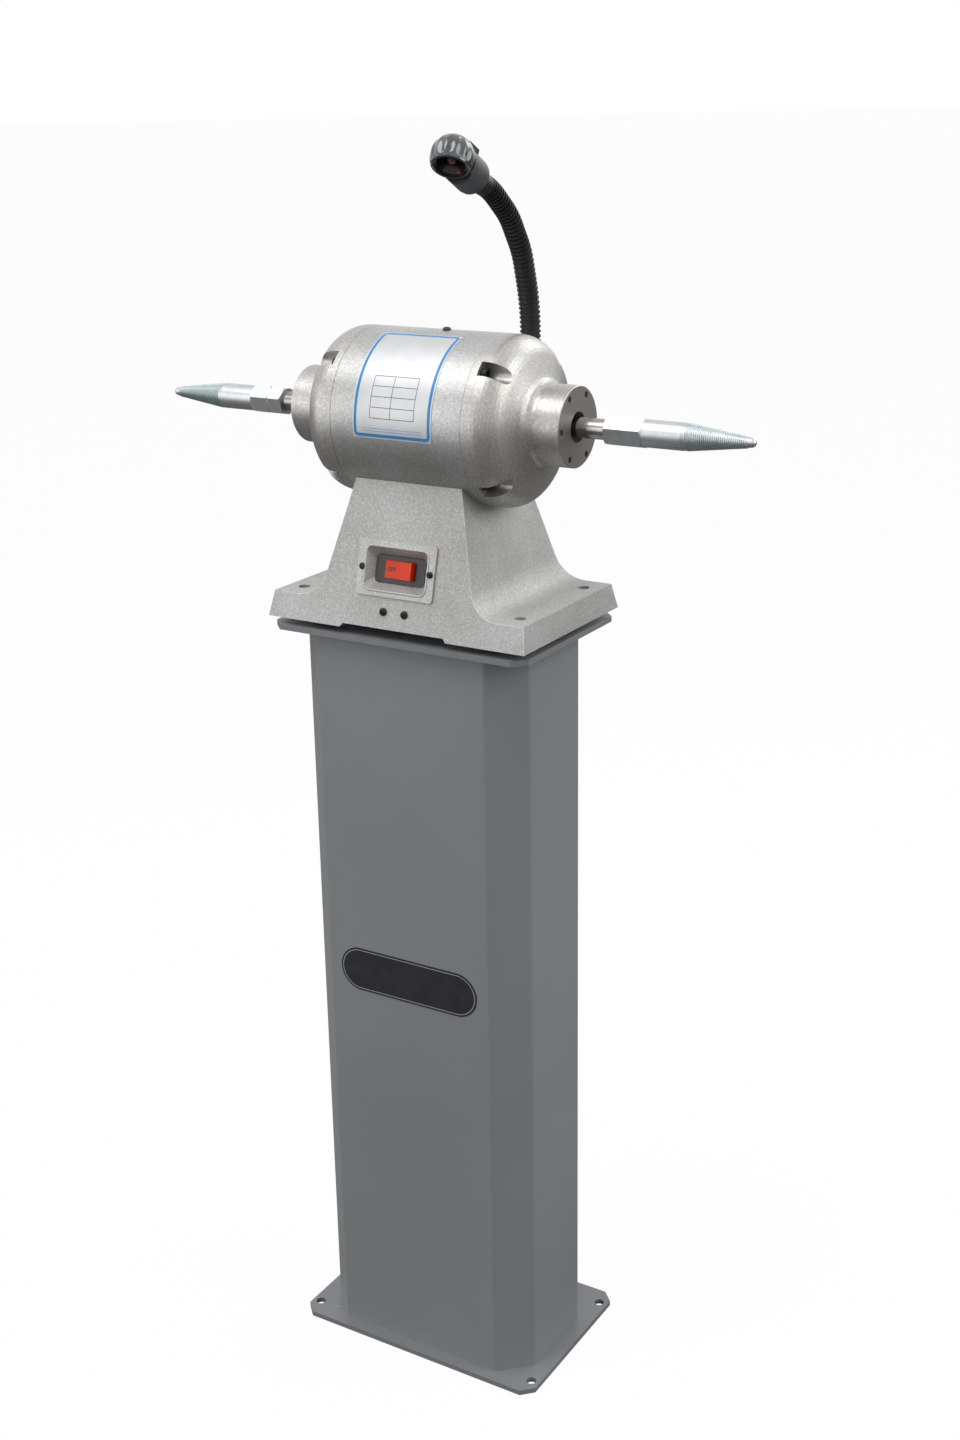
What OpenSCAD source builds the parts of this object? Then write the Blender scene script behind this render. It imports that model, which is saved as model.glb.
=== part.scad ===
// Double-ended polishing motor with tapered spindles on a sheet steel pedestal.
// Millimetres. The origin is on the floor under the middle of the pedestal.
// +Z is up, +X runs along the shaft to the right, -Y is the front with the switch.

/* [Pedestal] */
// Height of the top face of the top plate above the floor
stand_h = 850; // [600:1:1100]
// Thickness of the two steel plates
plate_t = 6; // [4:0.5:10]
// Length of the corner cuts on both plates
corner_cut = 13; // [4:0.5:20]
// Width of the base plate
base_w = 308; // [300:1:360]
// Depth of the base plate
base_d = 205; // [200:1:260]
// Width of the top plate
top_w = 302; // [295:1:340]
// Depth of the top plate
top_d = 199; // [190:1:240]
// Width of the folded column
column_w = 268; // [250:1:285]
// Depth of the folded column from its front wall to its rear lips
column_d = 138; // [125:1:160]
// Distance of the column's front wall in front of the middle
column_front = 88; // [84:1:92]
// Size of the two front corner folds
column_fold = 33; // [15:1:40]
// Sheet thickness of the column
sheet_t = 3; // [2:0.5:4]
// Width of the lips folded in along the open back
lip_w = 26; // [10:1:40]
// Inner radius of the column's bends
bend_in = 3; // [2:0.5:4]
// Spacing of the floor anchor holes across
anchor_x = 288; // [270:1:290]
// Spacing of the floor anchor holes front to back
anchor_y = 162; // [150:1:180]
// Diameter of the floor anchor holes
anchor_d = 11; // [8:0.5:13]

/* [Badge] */
// Width of the plain badge on the column
badge_w = 172; // [80:1:180]
// Height of the plain badge on the column
badge_h = 50; // [20:1:70]
// Height of the middle of the badge below the top plate
badge_drop = 382; // [200:1:450]
// Thickness of the badge
badge_t = 0.6; // [0.3:0.1:1.5]

/* [Machine base] */
// Thickness of the rubber pads under the machine
pad_h = 7; // [5:0.5:12]
// Diameter of the rubber pads
pad_d = 30; // [26:1:34]
// Spacing of the pads and their bolts across
pad_x = 196; // [190:1:200]
// Spacing of the pads and their bolts front to back
pad_y = 140; // [134:1:144]
// Thread diameter of the bolts through the pads
pad_bolt_d = 8; // [6:1:8]
// Width of the casting's foot at its underside
foot_w = 305; // [296:1:320]
// Depth of the casting's foot at its underside
foot_d = 196; // [192:1:204]
// Height of the casting's foot
foot_h = 26; // [22:1:30]
// How far the ends of the foot draw in over its height
foot_draw = 4.3; // [1:0.1:6]
// Width of the casting where its sides reach the motor
saddle_w = 124; // [110:1:130]
// Height of the top edge of the casting above its underside
saddle_h = 146; // [143:1:150]
// Lean of the front and rear faces, in degrees
face_lean = 14.7; // [13:0.1:15]
// Lean of the two sides above their flare, in degrees
side_lean = 14; // [12:0.5:16]
// Radius of the flare from the sides into the foot
flare_r = 32; // [20:1:40]
// Spacing of the open foot holes across
foot_hole_x = 259; // [255:1:262]
// Spacing of the open foot holes front to back
foot_hole_y = 130; // [120:1:136]
// Diameter of the open foot holes
foot_hole_d = 12.5; // [8:0.5:13]
// Height of the relief cut under the middle of the foot
relief_h = 4; // [3:0.5:6]
// Width of the relief cut under the middle of the foot
relief_w = 128; // [124:1:136]
// Thickness of the cover plate under the casting
cover_t = 2; // [1:0.1:2.2]

/* [Motor] */
// Height of the shaft above the underside of the casting
shaft_h = 204; // [202:1:208]
// Distance of the shaft behind the middle
shaft_y = 2; // [0:0.5:3]
// Outer diameter of the motor shell
motor_d = 169; // [167:0.5:171]
// Wall of the motor shell
shell_wall = 6; // [5:0.5:7]
// Half the length of the shell between its two joints
shell_half = 75.5; // [74:0.5:80]
// Chamfer along the two joints of the shell
seam = 0.5; // [0.2:0.1:1]
// Distance from the middle to the flat face of each neck
neck_face = 157; // [155:1:162]
// Diameter of the necks
neck_d = 79.6; // [76:0.2:84]
// Radius of the rounded edge of each end bell
dome_r = 28; // [24:1:30]
// Turn of the rounded edge before the sloping end, in degrees
dome_turn = 71.6; // [68:0.2:76]
// Radius of the fillet between the sloping end and the neck
neck_fillet = 10.8; // [6:0.2:13]
// Straight length of each bell before it rounds over
bell_straight = 10.6; // [9:0.2:13]
// Bore of the neck round the shaft
neck_bore = 30; // [26:1:34]
// Pitch circle of the six holes in each neck face
guard_pcd = 67; // [60:1:70]
// Diameter of the six holes in each neck face
guard_hole_d = 6.5; // [4:0.5:7]
// Depth of the six holes in each neck face
guard_hole_l = 14; // [8:1:16]
// Pitch radius of the bell screws
bell_screw_r = 76; // [75:0.5:77]
// Width of the open pockets over the bell screws
pocket_w = 16.4; // [14:0.2:18]
// Distance of the plug behind the middle of the shell's length, to the right
plug_x = 10; // [-20:1:20]
// Diameter of the plug on top of the shell
plug_d = 8.5; // [6:0.5:12]

/* [Nameplate] */
// Width of the nameplate along the shell
label_w = 91; // [60:1:110]
// Angle from the top at which the nameplate begins, in degrees
label_from = 15; // [5:1:30]
// Angle that the nameplate covers, in degrees
label_turn = 83; // [40:1:90]
// Distance of the middle of the nameplate to the left of the middle
label_off = 2.5; // [0:0.5:10]
// Thickness of the nameplate
label_t = 0.4; // [0.2:0.1:1]

/* [Rotor and bearings] */
// Diameter of the shaft inside the rotor
rotor_shaft_d = 30; // [28:1:34]
// Diameter of the shaft ends
shaft_d = 20; // [18:1:20]
// Diameter of the threaded stub inside each spindle
stub_d = 16; // [12:1:17]
// Bore of the ball bearings
bearing_id = 25; // [25:1:26]
// Outer diameter of the ball bearings
bearing_od = 52; // [50:1:54]
// Width of the ball bearings
bearing_w = 15; // [13:1:15]
// Number of balls in each bearing
ball_count = 9; // [7:1:9]
// Thickness of the spring washer behind the left bearing
spring_t = 1.5; // [1:0.1:2]
// Outer diameter of the rotor
rotor_d = 90; // [80:1:94]
// Air gap between the rotor and the stator
air_gap = 0.5; // [0.3:0.1:1]
// Length of the stator and rotor stacks
stack_l = 90; // [70:1:92]
// Number of stator slots
slot_count = 24; // [12:6:24]

/* [Spindles] */
// Distance from the middle to the inner end of each spindle's hexagon
hex_from = 190; // [186:1:194]
// Length of the hexagon
hex_l = 40; // [34:1:46]
// Width of the hexagon across its flats
hex_af = 27; // [26:1:30]
// Diameter of the plain barrel beyond the hexagon
barrel_d = 26.4; // [25:0.1:27]
// Length of the plain barrel
barrel_l = 42; // [30:1:50]
// Length of the taper with its round tip
taper_l = 70; // [50:1:90]
// Diameter of the small end of the taper
tip_d = 9; // [6:0.5:12]
// Distance of the groove on the left hexagon from its inner end
mark_at = 16.5; // [8:0.5:24]

/* [Main switch] */
// Width of the switch plate
swplate_w = 91; // [88:1:96]
// Height of the switch plate along the sloping front
swplate_h = 56; // [52:1:58]
// Thickness of the switch plate
swplate_t = 1.8; // [1:0.1:3]
// Distance of the switch to the left of the middle
switch_off = 2; // [0:0.5:6]
// Height of the middle of the switch above the casting's underside
switch_up = 62; // [58:1:64]
// Width of the recess at the plate's face
recess_w = 71; // [68:1:72]
// Height of the recess at the plate's face
recess_h = 42; // [38:1:43]
// Depth of the recess below the casting's face
recess_l = 9; // [7:0.5:10]
// Width of the switch bezel at the bottom of the recess
bezel_w = 58; // [54:1:60]
// Height of the switch bezel at the bottom of the recess
bezel_h = 27; // [26:0.5:29]
// Length of the rocker
rocker_w = 33.2; // [30:0.2:35]
// Width of the rocker
rocker_h = 17.8; // [16:0.2:18]
// Tilt of the rocker to each side, in degrees
rocker_tilt = 8; // [4:0.5:9]

/* [Lamp] */
// Distance of the lamp arm to the right of the middle
arm_x = 46; // [36:1:56]
// Distance of the lamp arm behind the casting's foot
arm_out = 7; // [5:1:10]
// Height of the lamp bracket above the casting's underside
bracket_up = 128; // [122:1:132]
// Sheet thickness of the lamp bracket
bracket_t = 3; // [2:0.5:4]
// Outer diameter over the ribs of the arm
rib_d = 21.4; // [21:0.1:22]
// Outer diameter between the ribs of the arm
groove_d = 18.8; // [18.4:0.1:19.2]
// Bore of the arm
arm_bore = 10; // [6:0.5:11]
// Width of one rib
rib_w = 1.7; // [1.2:0.1:2]
// Spacing of the ribs
rib_pitch = 4.8; // [4.6:0.1:6]
// Length of each of the two straight links
straight_l = 59; // [55:0.5:70]
// Arc radius of the first bent link
bend_r1 = 190; // [140:1:240]
// Arc radius of the other three bent links
bend_r2 = 79; // [60:1:120]
// Bend of the first bent link, in degrees
bend_first = 16; // [8:0.5:18]
// Bend of each of the other three bent links, in degrees
bend_rest = 18; // [10:0.5:20]
// How far the lamp body is lifted from the line of the arm's end, in degrees
head_lift = 8.5; // [0:0.5:12]
// Diameter of the lamp body
lamp_d = 36; // [34:0.5:40]
// Length of the smooth sleeve at the end of the arm
sleeve_l = 15; // [12:0.5:20]
// Length of the lamp body to the middle of its hood
lamp_l = 48; // [46:1:56]
// Diameter of the round hood
hood_d = 43; // [42:0.5:46]
// Wall of the lamp body and the hood
lamp_wall = 1.8; // [1.2:0.1:2.4]
// Diameter of the lamp's mouth
mouth_d = 32; // [28:0.5:34]
// Angle of the mouth below the level, in degrees
mouth_dip = 52; // [46:1:55]
// Turn of the mouth to the right, in degrees
mouth_yaw = 13; // [0:1:20]

/* [Fits] */
// Gap round every fixed fit
fit = 0.05; // [0.03:0.01:0.1]
// Gap round every running fit
run = 0.06; // [0.04:0.01:0.1]

/* [Hidden] */
$fn = 64;

// Heights that the machine stands on
foot_z = stand_h + pad_h;
axis_z = foot_z + shaft_h;
foot_top = foot_z + foot_h;
saddle_top = foot_z + saddle_h;
lean = tan(face_lean);

// Radii of the motor
motor_r = motor_d / 2;
core_r = motor_r - shell_wall;
neck_r = neck_d / 2;
dome_from = shell_half + bell_straight;
dome_c = [motor_r - dome_r, dome_from];
dome_end = dome_c + dome_r * [cos(dome_turn), sin(dome_turn)];
fillet_start_r = neck_r + neck_fillet * (1 - cos(dome_turn));
slope_l = (dome_end[0] - fillet_start_r) / sin(dome_turn);
fillet_end_x = dome_end[1] + slope_l * cos(dome_turn) + neck_fillet * sin(dome_turn);

// Bearings, shaft steps and screw lengths
bearing_from = 113.5;
bearing_to = bearing_from + bearing_w;
ball_pcr = (bearing_id + bearing_od) / 4;
ball_r = 3.9;
groove_r = ball_r + 0.1;
race_wall = 3.6;
spigot_l = 5;
spigot_wall = 6.4;
seat_x = shell_half + 7.5;
bell_screw_d = 6;
bell_screw_l = 28;
boss_l = 20;
stator_bore = rotor_d / 2 + air_gap;
slot_l = 17;
winding_l = 20;

// The hollow of the casting
cavity_x = relief_w / 2 - 10;
cavity_y = foot_d / 2 - 18;
cavity_top = shaft_h - motor_r - 11.5;
wall_min = 8;
cover_w = relief_w - 2 * relief_h - 1;
cover_d = 2 * cavity_y + 16;

// Switch parts, measured in the frame of the sloping front
bezel_t = 2;
pivot_l = 4;
body_l = 28;
recess_wall = 1.2;
swscrew_x = 40;
terminal_up = 20.6;
terminal_gap = 25;

// The arm's joints: a ball on each link turns in a cup of the next
arm_y = foot_d / 2 + arm_out;
ball_joint_r = groove_d / 2 - 0.2;
joint_gap = (rib_pitch - rib_w) / 2;
collar_l = 16;
arm_z = foot_z + bracket_up + bracket_t;
end_l = 2 * rib_pitch;
arc_step = 0.1;

function front_y(z) = -foot_d / 2 + lean * (z - foot_z);
function ring_arc(c, r, from, to, n) =
    [for (i = [0:n]) c + r * [cos(from + (to - from) * i / n), sin(from + (to - from) * i / n)]];
// Where each link of the arm starts, and how far it leans forward there
function link_tilt(k) = k <= 3 ? 0 : bend_first + (k - 4) * bend_rest;
function arc_radius(k) = k == 3 ? bend_r1 : bend_r2;
function link_step(k) = k <= 2
    ? [0, straight_l]
    : let (a = link_tilt(k), b = link_tilt(k + 1), r = arc_radius(k))
      end_l * [-sin(a), cos(a)] + r * [cos(b) - cos(a), sin(b) - sin(a)]
      + (k == 6 ? sleeve_l : end_l) * [-sin(b), cos(b)];
function link_at(k) = k == 1 ? [arm_y, arm_z + collar_l] : link_at(k - 1) + link_step(k - 1);

module corner_cut_plate(w, d, t, cut) {
    linear_extrude(t)
        polygon([
            [-w / 2 + cut, -d / 2], [w / 2 - cut, -d / 2], [w / 2, -d / 2 + cut], [w / 2, d / 2 - cut],
            [w / 2 - cut, d / 2], [-w / 2 + cut, d / 2], [-w / 2, d / 2 - cut], [-w / 2, -d / 2 + cut]
        ]);
}

module at_corners(dx, dy) {
    for (sx = [-1, 1], sy = [-1, 1])
        translate([sx * dx / 2, sy * dy / 2, 0]) children();
}

// Turns children made along +Z so that they lie along the shaft
module along_shaft() {
    translate([0, shaft_y, axis_z]) rotate([0, 90, 0]) children();
}

// The frame of the sloping front face: X to the right, Y up the face, Z outwards
module on_front(x, up) {
    z = foot_z + up;
    translate([x, front_y(z), z]) rotate([90 - face_lean, 0, 0]) children();
}

// The same frame on the sloping rear face
module on_rear(x, up) {
    z = foot_z + up;
    translate([x, -front_y(z), z]) rotate([0, 0, 180]) rotate([90 - face_lean, 0, 0]) children();
}

// A box whose sides lean evenly from one size at its bottom to another at its top
module leaning_box(w0, h0, w1, h1, z0, z1) {
    intersection() {
        rotate([90, 0, 0])
            linear_extrude(max(h0, h1) + 2, center = true)
                polygon([[-w0 / 2, z0], [w0 / 2, z0], [w1 / 2, z1], [-w1 / 2, z1]]);
        rotate([90, 0, 90])
            linear_extrude(max(w0, w1) + 2, center = true)
                polygon([[-h0 / 2, z0], [h0 / 2, z0], [h1 / 2, z1], [-h1 / 2, z1]]);
    }
}

module pan_screw(head_d, head_h, d, l) {
    difference() {
        rotate_extrude()
            polygon([
                [0, -l], [d / 2 - 0.3, -l], [d / 2, -l + 0.5], [d / 2, 0], [head_d / 2, 0],
                [head_d / 2, head_h * 0.35], [head_d * 0.43, head_h * 0.68],
                [head_d * 0.3, head_h * 0.9],
                [head_d * 0.15, head_h], [0, head_h]
            ]);
        for (a = [0, 90])
            rotate([0, 0, a + 45])
                translate([-head_d * 0.28, -head_d * 0.06, head_h * 0.55])
                    cube([head_d * 0.56, head_d * 0.12, head_h]);
    }
}

module socket_screw(head_d, head_h, d, l) {
    difference() {
        union() {
            translate([0, 0, -l]) cylinder(h = l + 0.01, d = d);
            rotate_extrude()
                polygon([
                    [0, 0], [head_d / 2, 0], [head_d / 2, head_h - 0.6],
                    [head_d / 2 - 0.6, head_h], [0, head_h]
                ]);
        }
        translate([0, 0, head_h * 0.45]) cylinder(h = head_h, d = head_d * 0.58, $fn = 6);
    }
}

module pedestal_base_plate() {
    color("dimgray")
        difference() {
            corner_cut_plate(base_w, base_d, plate_t, corner_cut);
            at_corners(anchor_x, anchor_y)
                translate([0, 0, -1]) cylinder(h = plate_t + 2, d = anchor_d);
        }
}

// Folded from one sheet: front wall, two corner folds, two sides and two rear lips
module pedestal_column() {
    x = column_w / 2;
    y0 = -column_front;
    y1 = column_d - column_front;
    s = sheet_t;
    r = bend_in + s;
    turn_in = r * tan(22.5);
    c1 = [x - column_fold - turn_in, y0 + r];
    c2 = [x - r, y0 + column_fold + turn_in];
    c3 = [x - r, y1 - r];
    half = concat(
        ring_arc(c1, r, 270, 315, 4), ring_arc(c2, r, 315, 360, 4), ring_arc(c3, r, 0, 90, 6),
        [[x - lip_w, y1], [x - lip_w, y1 - s]],
        ring_arc(c3, bend_in, 90, 0, 6), ring_arc(c2, bend_in, 360, 315, 4),
        ring_arc(c1, bend_in, 315, 270, 4)
    );
    other_half = [for (i = [len(half) - 1:-1:0]) [-half[i][0], half[i][1]]];
    color("slategray")
        translate([0, 0, plate_t])
            linear_extrude(stand_h - 2 * plate_t)
                polygon(concat(half, other_half));
}

module pedestal_top_plate() {
    color("dimgray")
        translate([0, 0, stand_h - plate_t])
            difference() {
                corner_cut_plate(top_w, top_d, plate_t, corner_cut);
                at_corners(pad_x, pad_y)
                    translate([0, 0, -1]) cylinder(h = plate_t + 2, d = pad_bolt_d + 1);
            }
}

// A plain plate with half-round ends where the column carries its sign
module column_badge() {
    r = badge_h / 2;
    color("black")
        translate([0, -column_front, stand_h - badge_drop])
            rotate([90, 0, 0])
                linear_extrude(badge_t)
                    union() {
                        square([badge_w - badge_h, badge_h], center = true);
                        for (s = [-1, 1])
                            translate([s * (badge_w / 2 - r), 0]) circle(r = r);
                    }
}

module rubber_pads() {
    color([0.08, 0.08, 0.08])
        translate([0, 0, stand_h])
            at_corners(pad_x, pad_y)
                difference() {
                    cylinder(h = pad_h, d = pad_d);
                    translate([0, 0, -1]) cylinder(h = pad_h + 2, d = pad_bolt_d + 1);
                }
}

washer_t = 1.6;
pad_bolt_grip = 16;
// Hexagon bolts that come up through the top plate and the pads into the casting
module machine_bolts() {
    head_h = pad_bolt_d * 0.65;
    z0 = stand_h - plate_t - washer_t;
    color("silver")
        at_corners(pad_x, pad_y) {
            translate([0, 0, z0 - head_h])
                cylinder(h = head_h, d = pad_bolt_d * 1.85, $fn = 6);
            translate([0, 0, z0 - 1])
                cylinder(h = foot_z + pad_bolt_grip - z0 + 1, d = pad_bolt_d);
        }
}

module machine_bolt_washers() {
    color("gainsboro")
        translate([0, 0, stand_h - plate_t - washer_t])
            at_corners(pad_x, pad_y)
                difference() {
                    cylinder(h = washer_t, d = pad_bolt_d * 2);
                    translate([0, 0, -1]) cylinder(h = washer_t + 2, d = pad_bolt_d + 0.4);
                }
}

// Front view of the casting: a level foot, flared ends and leaning sides
module casting_front_outline() {
    d = side_lean;
    side_x = saddle_w / 2 + tan(d) * (saddle_top - foot_top - flare_r);
    flare_c = [side_x + flare_r / cos(d), foot_top + flare_r];
    right_side = concat(
        [[foot_w / 2, foot_z], [foot_w / 2 - foot_draw, foot_top]],
        ring_arc(flare_c, flare_r, 270, 180 + d, 8),
        [[saddle_w / 2, saddle_top]]
    );
    left_side = [for (i = [len(right_side) - 1:-1:0]) [-right_side[i][0], right_side[i][1]]];
    polygon(concat(right_side, left_side));
}

module casting_hollow() {
    z0 = foot_z;
    wide_x = cavity_x + 14;
    slope_x = saddle_w / 2 + tan(side_lean) * (saddle_h - cavity_top) - wall_min;
    slope_y = foot_d / 2 - lean * cavity_top - wall_min;
    bend_h = (foot_d / 2 - wall_min - cavity_y) / lean;
    intersection() {
        rotate([90, 0, 0])
            linear_extrude(foot_d, center = true)
                polygon([
                    [-cavity_x, z0 - 1], [cavity_x, z0 - 1], [cavity_x, z0 + 22], [wide_x, z0 + 46],
                    [slope_x, z0 + cavity_top], [-slope_x, z0 + cavity_top], [-wide_x, z0 + 46],
                    [-cavity_x, z0 + 22]
                ]);
        rotate([90, 0, 90])
            linear_extrude(foot_w, center = true)
                polygon([
                    [-cavity_y, z0 - 1], [cavity_y, z0 - 1], [cavity_y, z0 + bend_h],
                    [slope_y, z0 + cavity_top], [-slope_y, z0 + cavity_top], [-cavity_y, z0 + bend_h]
                ]);
    }
}

lead_hole_d = 14;
saddle_bolt_x = 36;
saddle_bolt_d = 8;
gland_x = -48;
gland_up = 34;
gland_d = 16;
bracket_w = 32;
bracket_drop = 22;
bracket_screw_x = 18;
bracket_screw_d = 5;
// The cast stand of the motor: hollow, open below, with a saddle cut to the shell
module machine_base() {
    color("lightgray")
        difference() {
            intersection() {
                rotate([90, 0, 0])
                    linear_extrude(foot_d + 2, center = true)
                        casting_front_outline();
                rotate([90, 0, 90])
                    linear_extrude(foot_w + 2, center = true)
                        polygon([
                            [-foot_d / 2, foot_z], [foot_d / 2, foot_z],
                            [foot_d / 2 - lean * saddle_h, saddle_top],
                            [-foot_d / 2 + lean * saddle_h, saddle_top]
                        ]);
            }
            along_shaft() cylinder(h = foot_w, r = motor_r + fit, center = true);
            casting_hollow();
            rotate([90, 0, 0])
                linear_extrude(foot_d + 2, center = true)
                    polygon([
                        [-relief_w / 2, foot_z - 1], [relief_w / 2, foot_z - 1],
                        [relief_w / 2 - relief_h, foot_z + relief_h],
                        [-relief_w / 2 + relief_h, foot_z + relief_h]
                    ]);
            at_corners(foot_hole_x, foot_hole_y)
                translate([0, 0, foot_z - 1]) cylinder(h = foot_h + 2, d = foot_hole_d);
            at_corners(pad_x, pad_y)
                translate([0, 0, foot_z - 1]) cylinder(h = pad_bolt_grip + 3, d = pad_bolt_d + 2 * fit);
            at_corners(cover_screw_x, cover_screw_y)
                translate([0, 0, foot_z]) cylinder(h = relief_h + 11, d = cover_screw_d + 2 * fit);
            on_front(-switch_off, switch_up)
                translate([0, 0, -15])
                    cube(
                        [recess_w + 2 * recess_wall + 1, recess_h + 2 * recess_wall + 1, 40],
                        center = true
                    );
            for (s = [-1, 1])
                on_front(-switch_off + s * swscrew_x, switch_up)
                    translate([0, 0, -6.5]) cylinder(h = 8, d = swscrew_d + 2 * fit);
            for (s = [-1, 1])
                on_front(s * terminal_gap / 2, terminal_up)
                    translate([0, 0, -terminal_screw_l])
                        cylinder(h = terminal_screw_l + 1, d = terminal_screw_d + 0.4);
            on_rear(gland_x, gland_up)
                translate([0, 0, -24]) cylinder(h = 40, d = gland_d + 2 * fit);
            for (s = [-1, 1])
                on_rear(arm_x + s * bracket_screw_x / 2, bracket_up - bracket_drop)
                    translate([0, 0, -7.4]) cylinder(h = 12, d = bracket_screw_d + 2 * fit);
            translate([0, shaft_y, foot_z + cavity_top - 5]) cylinder(h = 40, d = lead_hole_d);
            for (s = [-1, 1])
                translate([s * saddle_bolt_x, shaft_y, foot_z + cavity_top - 5])
                    cylinder(h = 40, d = saddle_bolt_d + 2 * fit);
        }
}

cover_screw_x = 2 * cavity_x - 8;
cover_screw_y = 2 * cavity_y + 8;
cover_screw_d = 4;
cover_z = foot_z + relief_h - cover_t;
module base_cover_plate() {
    color("gray")
        translate([0, 0, cover_z])
            difference() {
                translate([-cover_w / 2, -cover_d / 2, 0]) cube([cover_w, cover_d, cover_t]);
                at_corners(cover_screw_x, cover_screw_y)
                    translate([0, 0, -1]) cylinder(h = cover_t + 2, d = cover_screw_d + 0.5);
            }
}

module base_cover_screws() {
    color("dimgray")
        translate([0, 0, cover_z])
            at_corners(cover_screw_x, cover_screw_y)
                rotate([180, 0, 0]) pan_screw(7, 1.7, cover_screw_d, cover_t + 8);
}

swscrew_d = 3.5;
// A pressed plate with a deep sloping recess that shields the rocker
module switch_plate() {
    floor_z = -recess_l;
    color("silver")
        on_front(-switch_off, switch_up)
            difference() {
                union() {
                    translate([-swplate_w / 2, -swplate_h / 2, fit])
                        cube([swplate_w, swplate_h, swplate_t]);
                    leaning_box(
                        bezel_w + 2 * recess_wall, bezel_h + 2 * recess_wall,
                        recess_w + 2 * recess_wall, recess_h + 2 * recess_wall,
                        floor_z - recess_wall, swplate_t
                    );
                }
                leaning_box(
                    bezel_w + 2 * fit, bezel_h + 2 * fit, recess_w, recess_h,
                    floor_z, swplate_t + fit + 0.01
                );
                cube([body_w + 2 * fit, body_h + 2 * fit, 60], center = true);
                for (s = [-1, 1])
                    translate([s * swscrew_x, 0, -3]) cylinder(h = 10, d = swscrew_d + 0.4);
            }
}

module switch_plate_screws() {
    color([0.1, 0.1, 0.1])
        for (s = [-1, 1])
            on_front(-switch_off + s * swscrew_x, switch_up)
                translate([0, 0, swplate_t + fit]) pan_screw(6.8, 2.6, swscrew_d, swplate_t + 5.5);
}

body_w = bezel_w - 9;
body_h = bezel_h - 5.4;
window_w = rocker_w + 2.2;
window_h = rocker_h + 0.7;
bezel_z = -recess_l + bezel_t;
pivot_z = bezel_z - pivot_l;
// The black switch: a flat bezel, a box behind it, a window and two bearing holes
module main_switch_body() {
    color([0.12, 0.12, 0.12])
        on_front(-switch_off, switch_up)
            difference() {
                union() {
                    translate([-bezel_w / 2, -bezel_h / 2, -recess_l])
                        cube([bezel_w, bezel_h, bezel_t]);
                    translate([-body_w / 2, -body_h / 2, -recess_l - body_l])
                        cube([body_w, body_h, body_l + 0.01]);
                }
                translate([-window_w / 2, -window_h / 2, pivot_z - 9]) cube([window_w, window_h, 40]);
                translate([0, 0, pivot_z])
                    rotate([90, 0, 0]) cylinder(h = body_h + 2, r = 1.5 + run, center = true);
            }
}

// Rests with its left half pressed in, which is off
module main_switch_rocker() {
    w = rocker_w / 2;
    rise = w * tan(rocker_tilt);
    mid = pivot_l + 0.8;
    color("red")
        on_front(-switch_off, switch_up)
            translate([0, 0, pivot_z])
                rotate([0, -rocker_tilt, 0])
                    rotate([90, 0, 0])
                        union() {
                            linear_extrude(rocker_h, center = true)
                                polygon([
                                    [-w, mid + rise], [-w, 0.6], [-6, -4],
                                    [6, -4], [w, 0.6], [w, mid + rise],
                                    [0, mid]
                                ]);
                            cylinder(h = body_h - 0.6, r = 1.5, center = true);
                        }
}

terminal_screw_d = 4;
terminal_screw_l = 28;
// Two screws below the switch, which hold the terminal block behind the wall
module terminal_screws() {
    color([0.1, 0.1, 0.1])
        for (s = [-1, 1])
            on_front(s * terminal_gap / 2, terminal_up)
                translate([0, 0, fit]) pan_screw(8, 3, terminal_screw_d, terminal_screw_l - 4);
}

module terminal_block() {
    z = foot_z + terminal_up;
    color("ivory")
        difference() {
            translate([-28, -cavity_y + 0.1, z - 8]) cube([56, 17, 18]);
            for (i = [-2:2])
                translate([i * 11, -cavity_y + 8, z + 5]) cylinder(h = 10, d = 5);
            for (s = [-1, 1])
                on_front(s * terminal_gap / 2, terminal_up)
                    translate([0, 0, -terminal_screw_l - 2])
                        cylinder(h = 40, d = terminal_screw_d + 2 * fit);
        }
}

capacitor_d = 36;
capacitor_l = 78;
capacitor_y = 26;
clip_t = 1.2;
clip_w = 14;
clip_x = 20;
clip_lift = 0.3;
capacitor_z = foot_z + relief_h + clip_lift + clip_t + fit + capacitor_d / 2;
module run_capacitor() {
    r = capacitor_d / 2;
    color("whitesmoke")
        translate([0, capacitor_y, capacitor_z])
            rotate([0, 90, 0])
                union() {
                    rotate_extrude()
                        polygon([
                            [0, -capacitor_l / 2], [r - 2, -capacitor_l / 2], [r, -capacitor_l / 2 + 2],
                            [r, capacitor_l / 2 - 2], [r - 2, capacitor_l / 2], [0, capacitor_l / 2]
                        ]);
                    for (s = [-1, 1])
                        translate([-0.4, s * 6 - 3, capacitor_l / 2 - 0.01]) cube([0.8, 6, 9]);
                }
}

// Two bands round the capacitor, each on a flat foot welded to the cover plate
module capacitor_clip() {
    r = capacitor_d / 2 + fit;
    color("silver")
        for (s = [-1, 1])
            translate([s * clip_x, capacitor_y, capacitor_z])
                union() {
                    rotate([0, 90, 0])
                        difference() {
                            cylinder(h = clip_w, r = r + clip_t, center = true);
                            cylinder(h = clip_w + 2, r = r, center = true);
                        }
                    translate([-clip_w / 2, -13, -r - clip_t - clip_lift]) cube([clip_w, 26, clip_t]);
                }
}

gland_bore = 8;
// The cable entry in the rear wall of the casting
module cable_gland() {
    color([0.15, 0.15, 0.15])
        on_rear(gland_x, gland_up)
            difference() {
                union() {
                    translate([0, 0, -16]) cylinder(h = 16, d = gland_d);
                    cylinder(h = 5, d = 24, $fn = 6);
                    translate([0, 0, 4.9]) cylinder(h = 9.1, d = 15);
                }
                translate([0, 0, -20]) cylinder(h = 50, d = gland_bore);
            }
}

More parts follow.
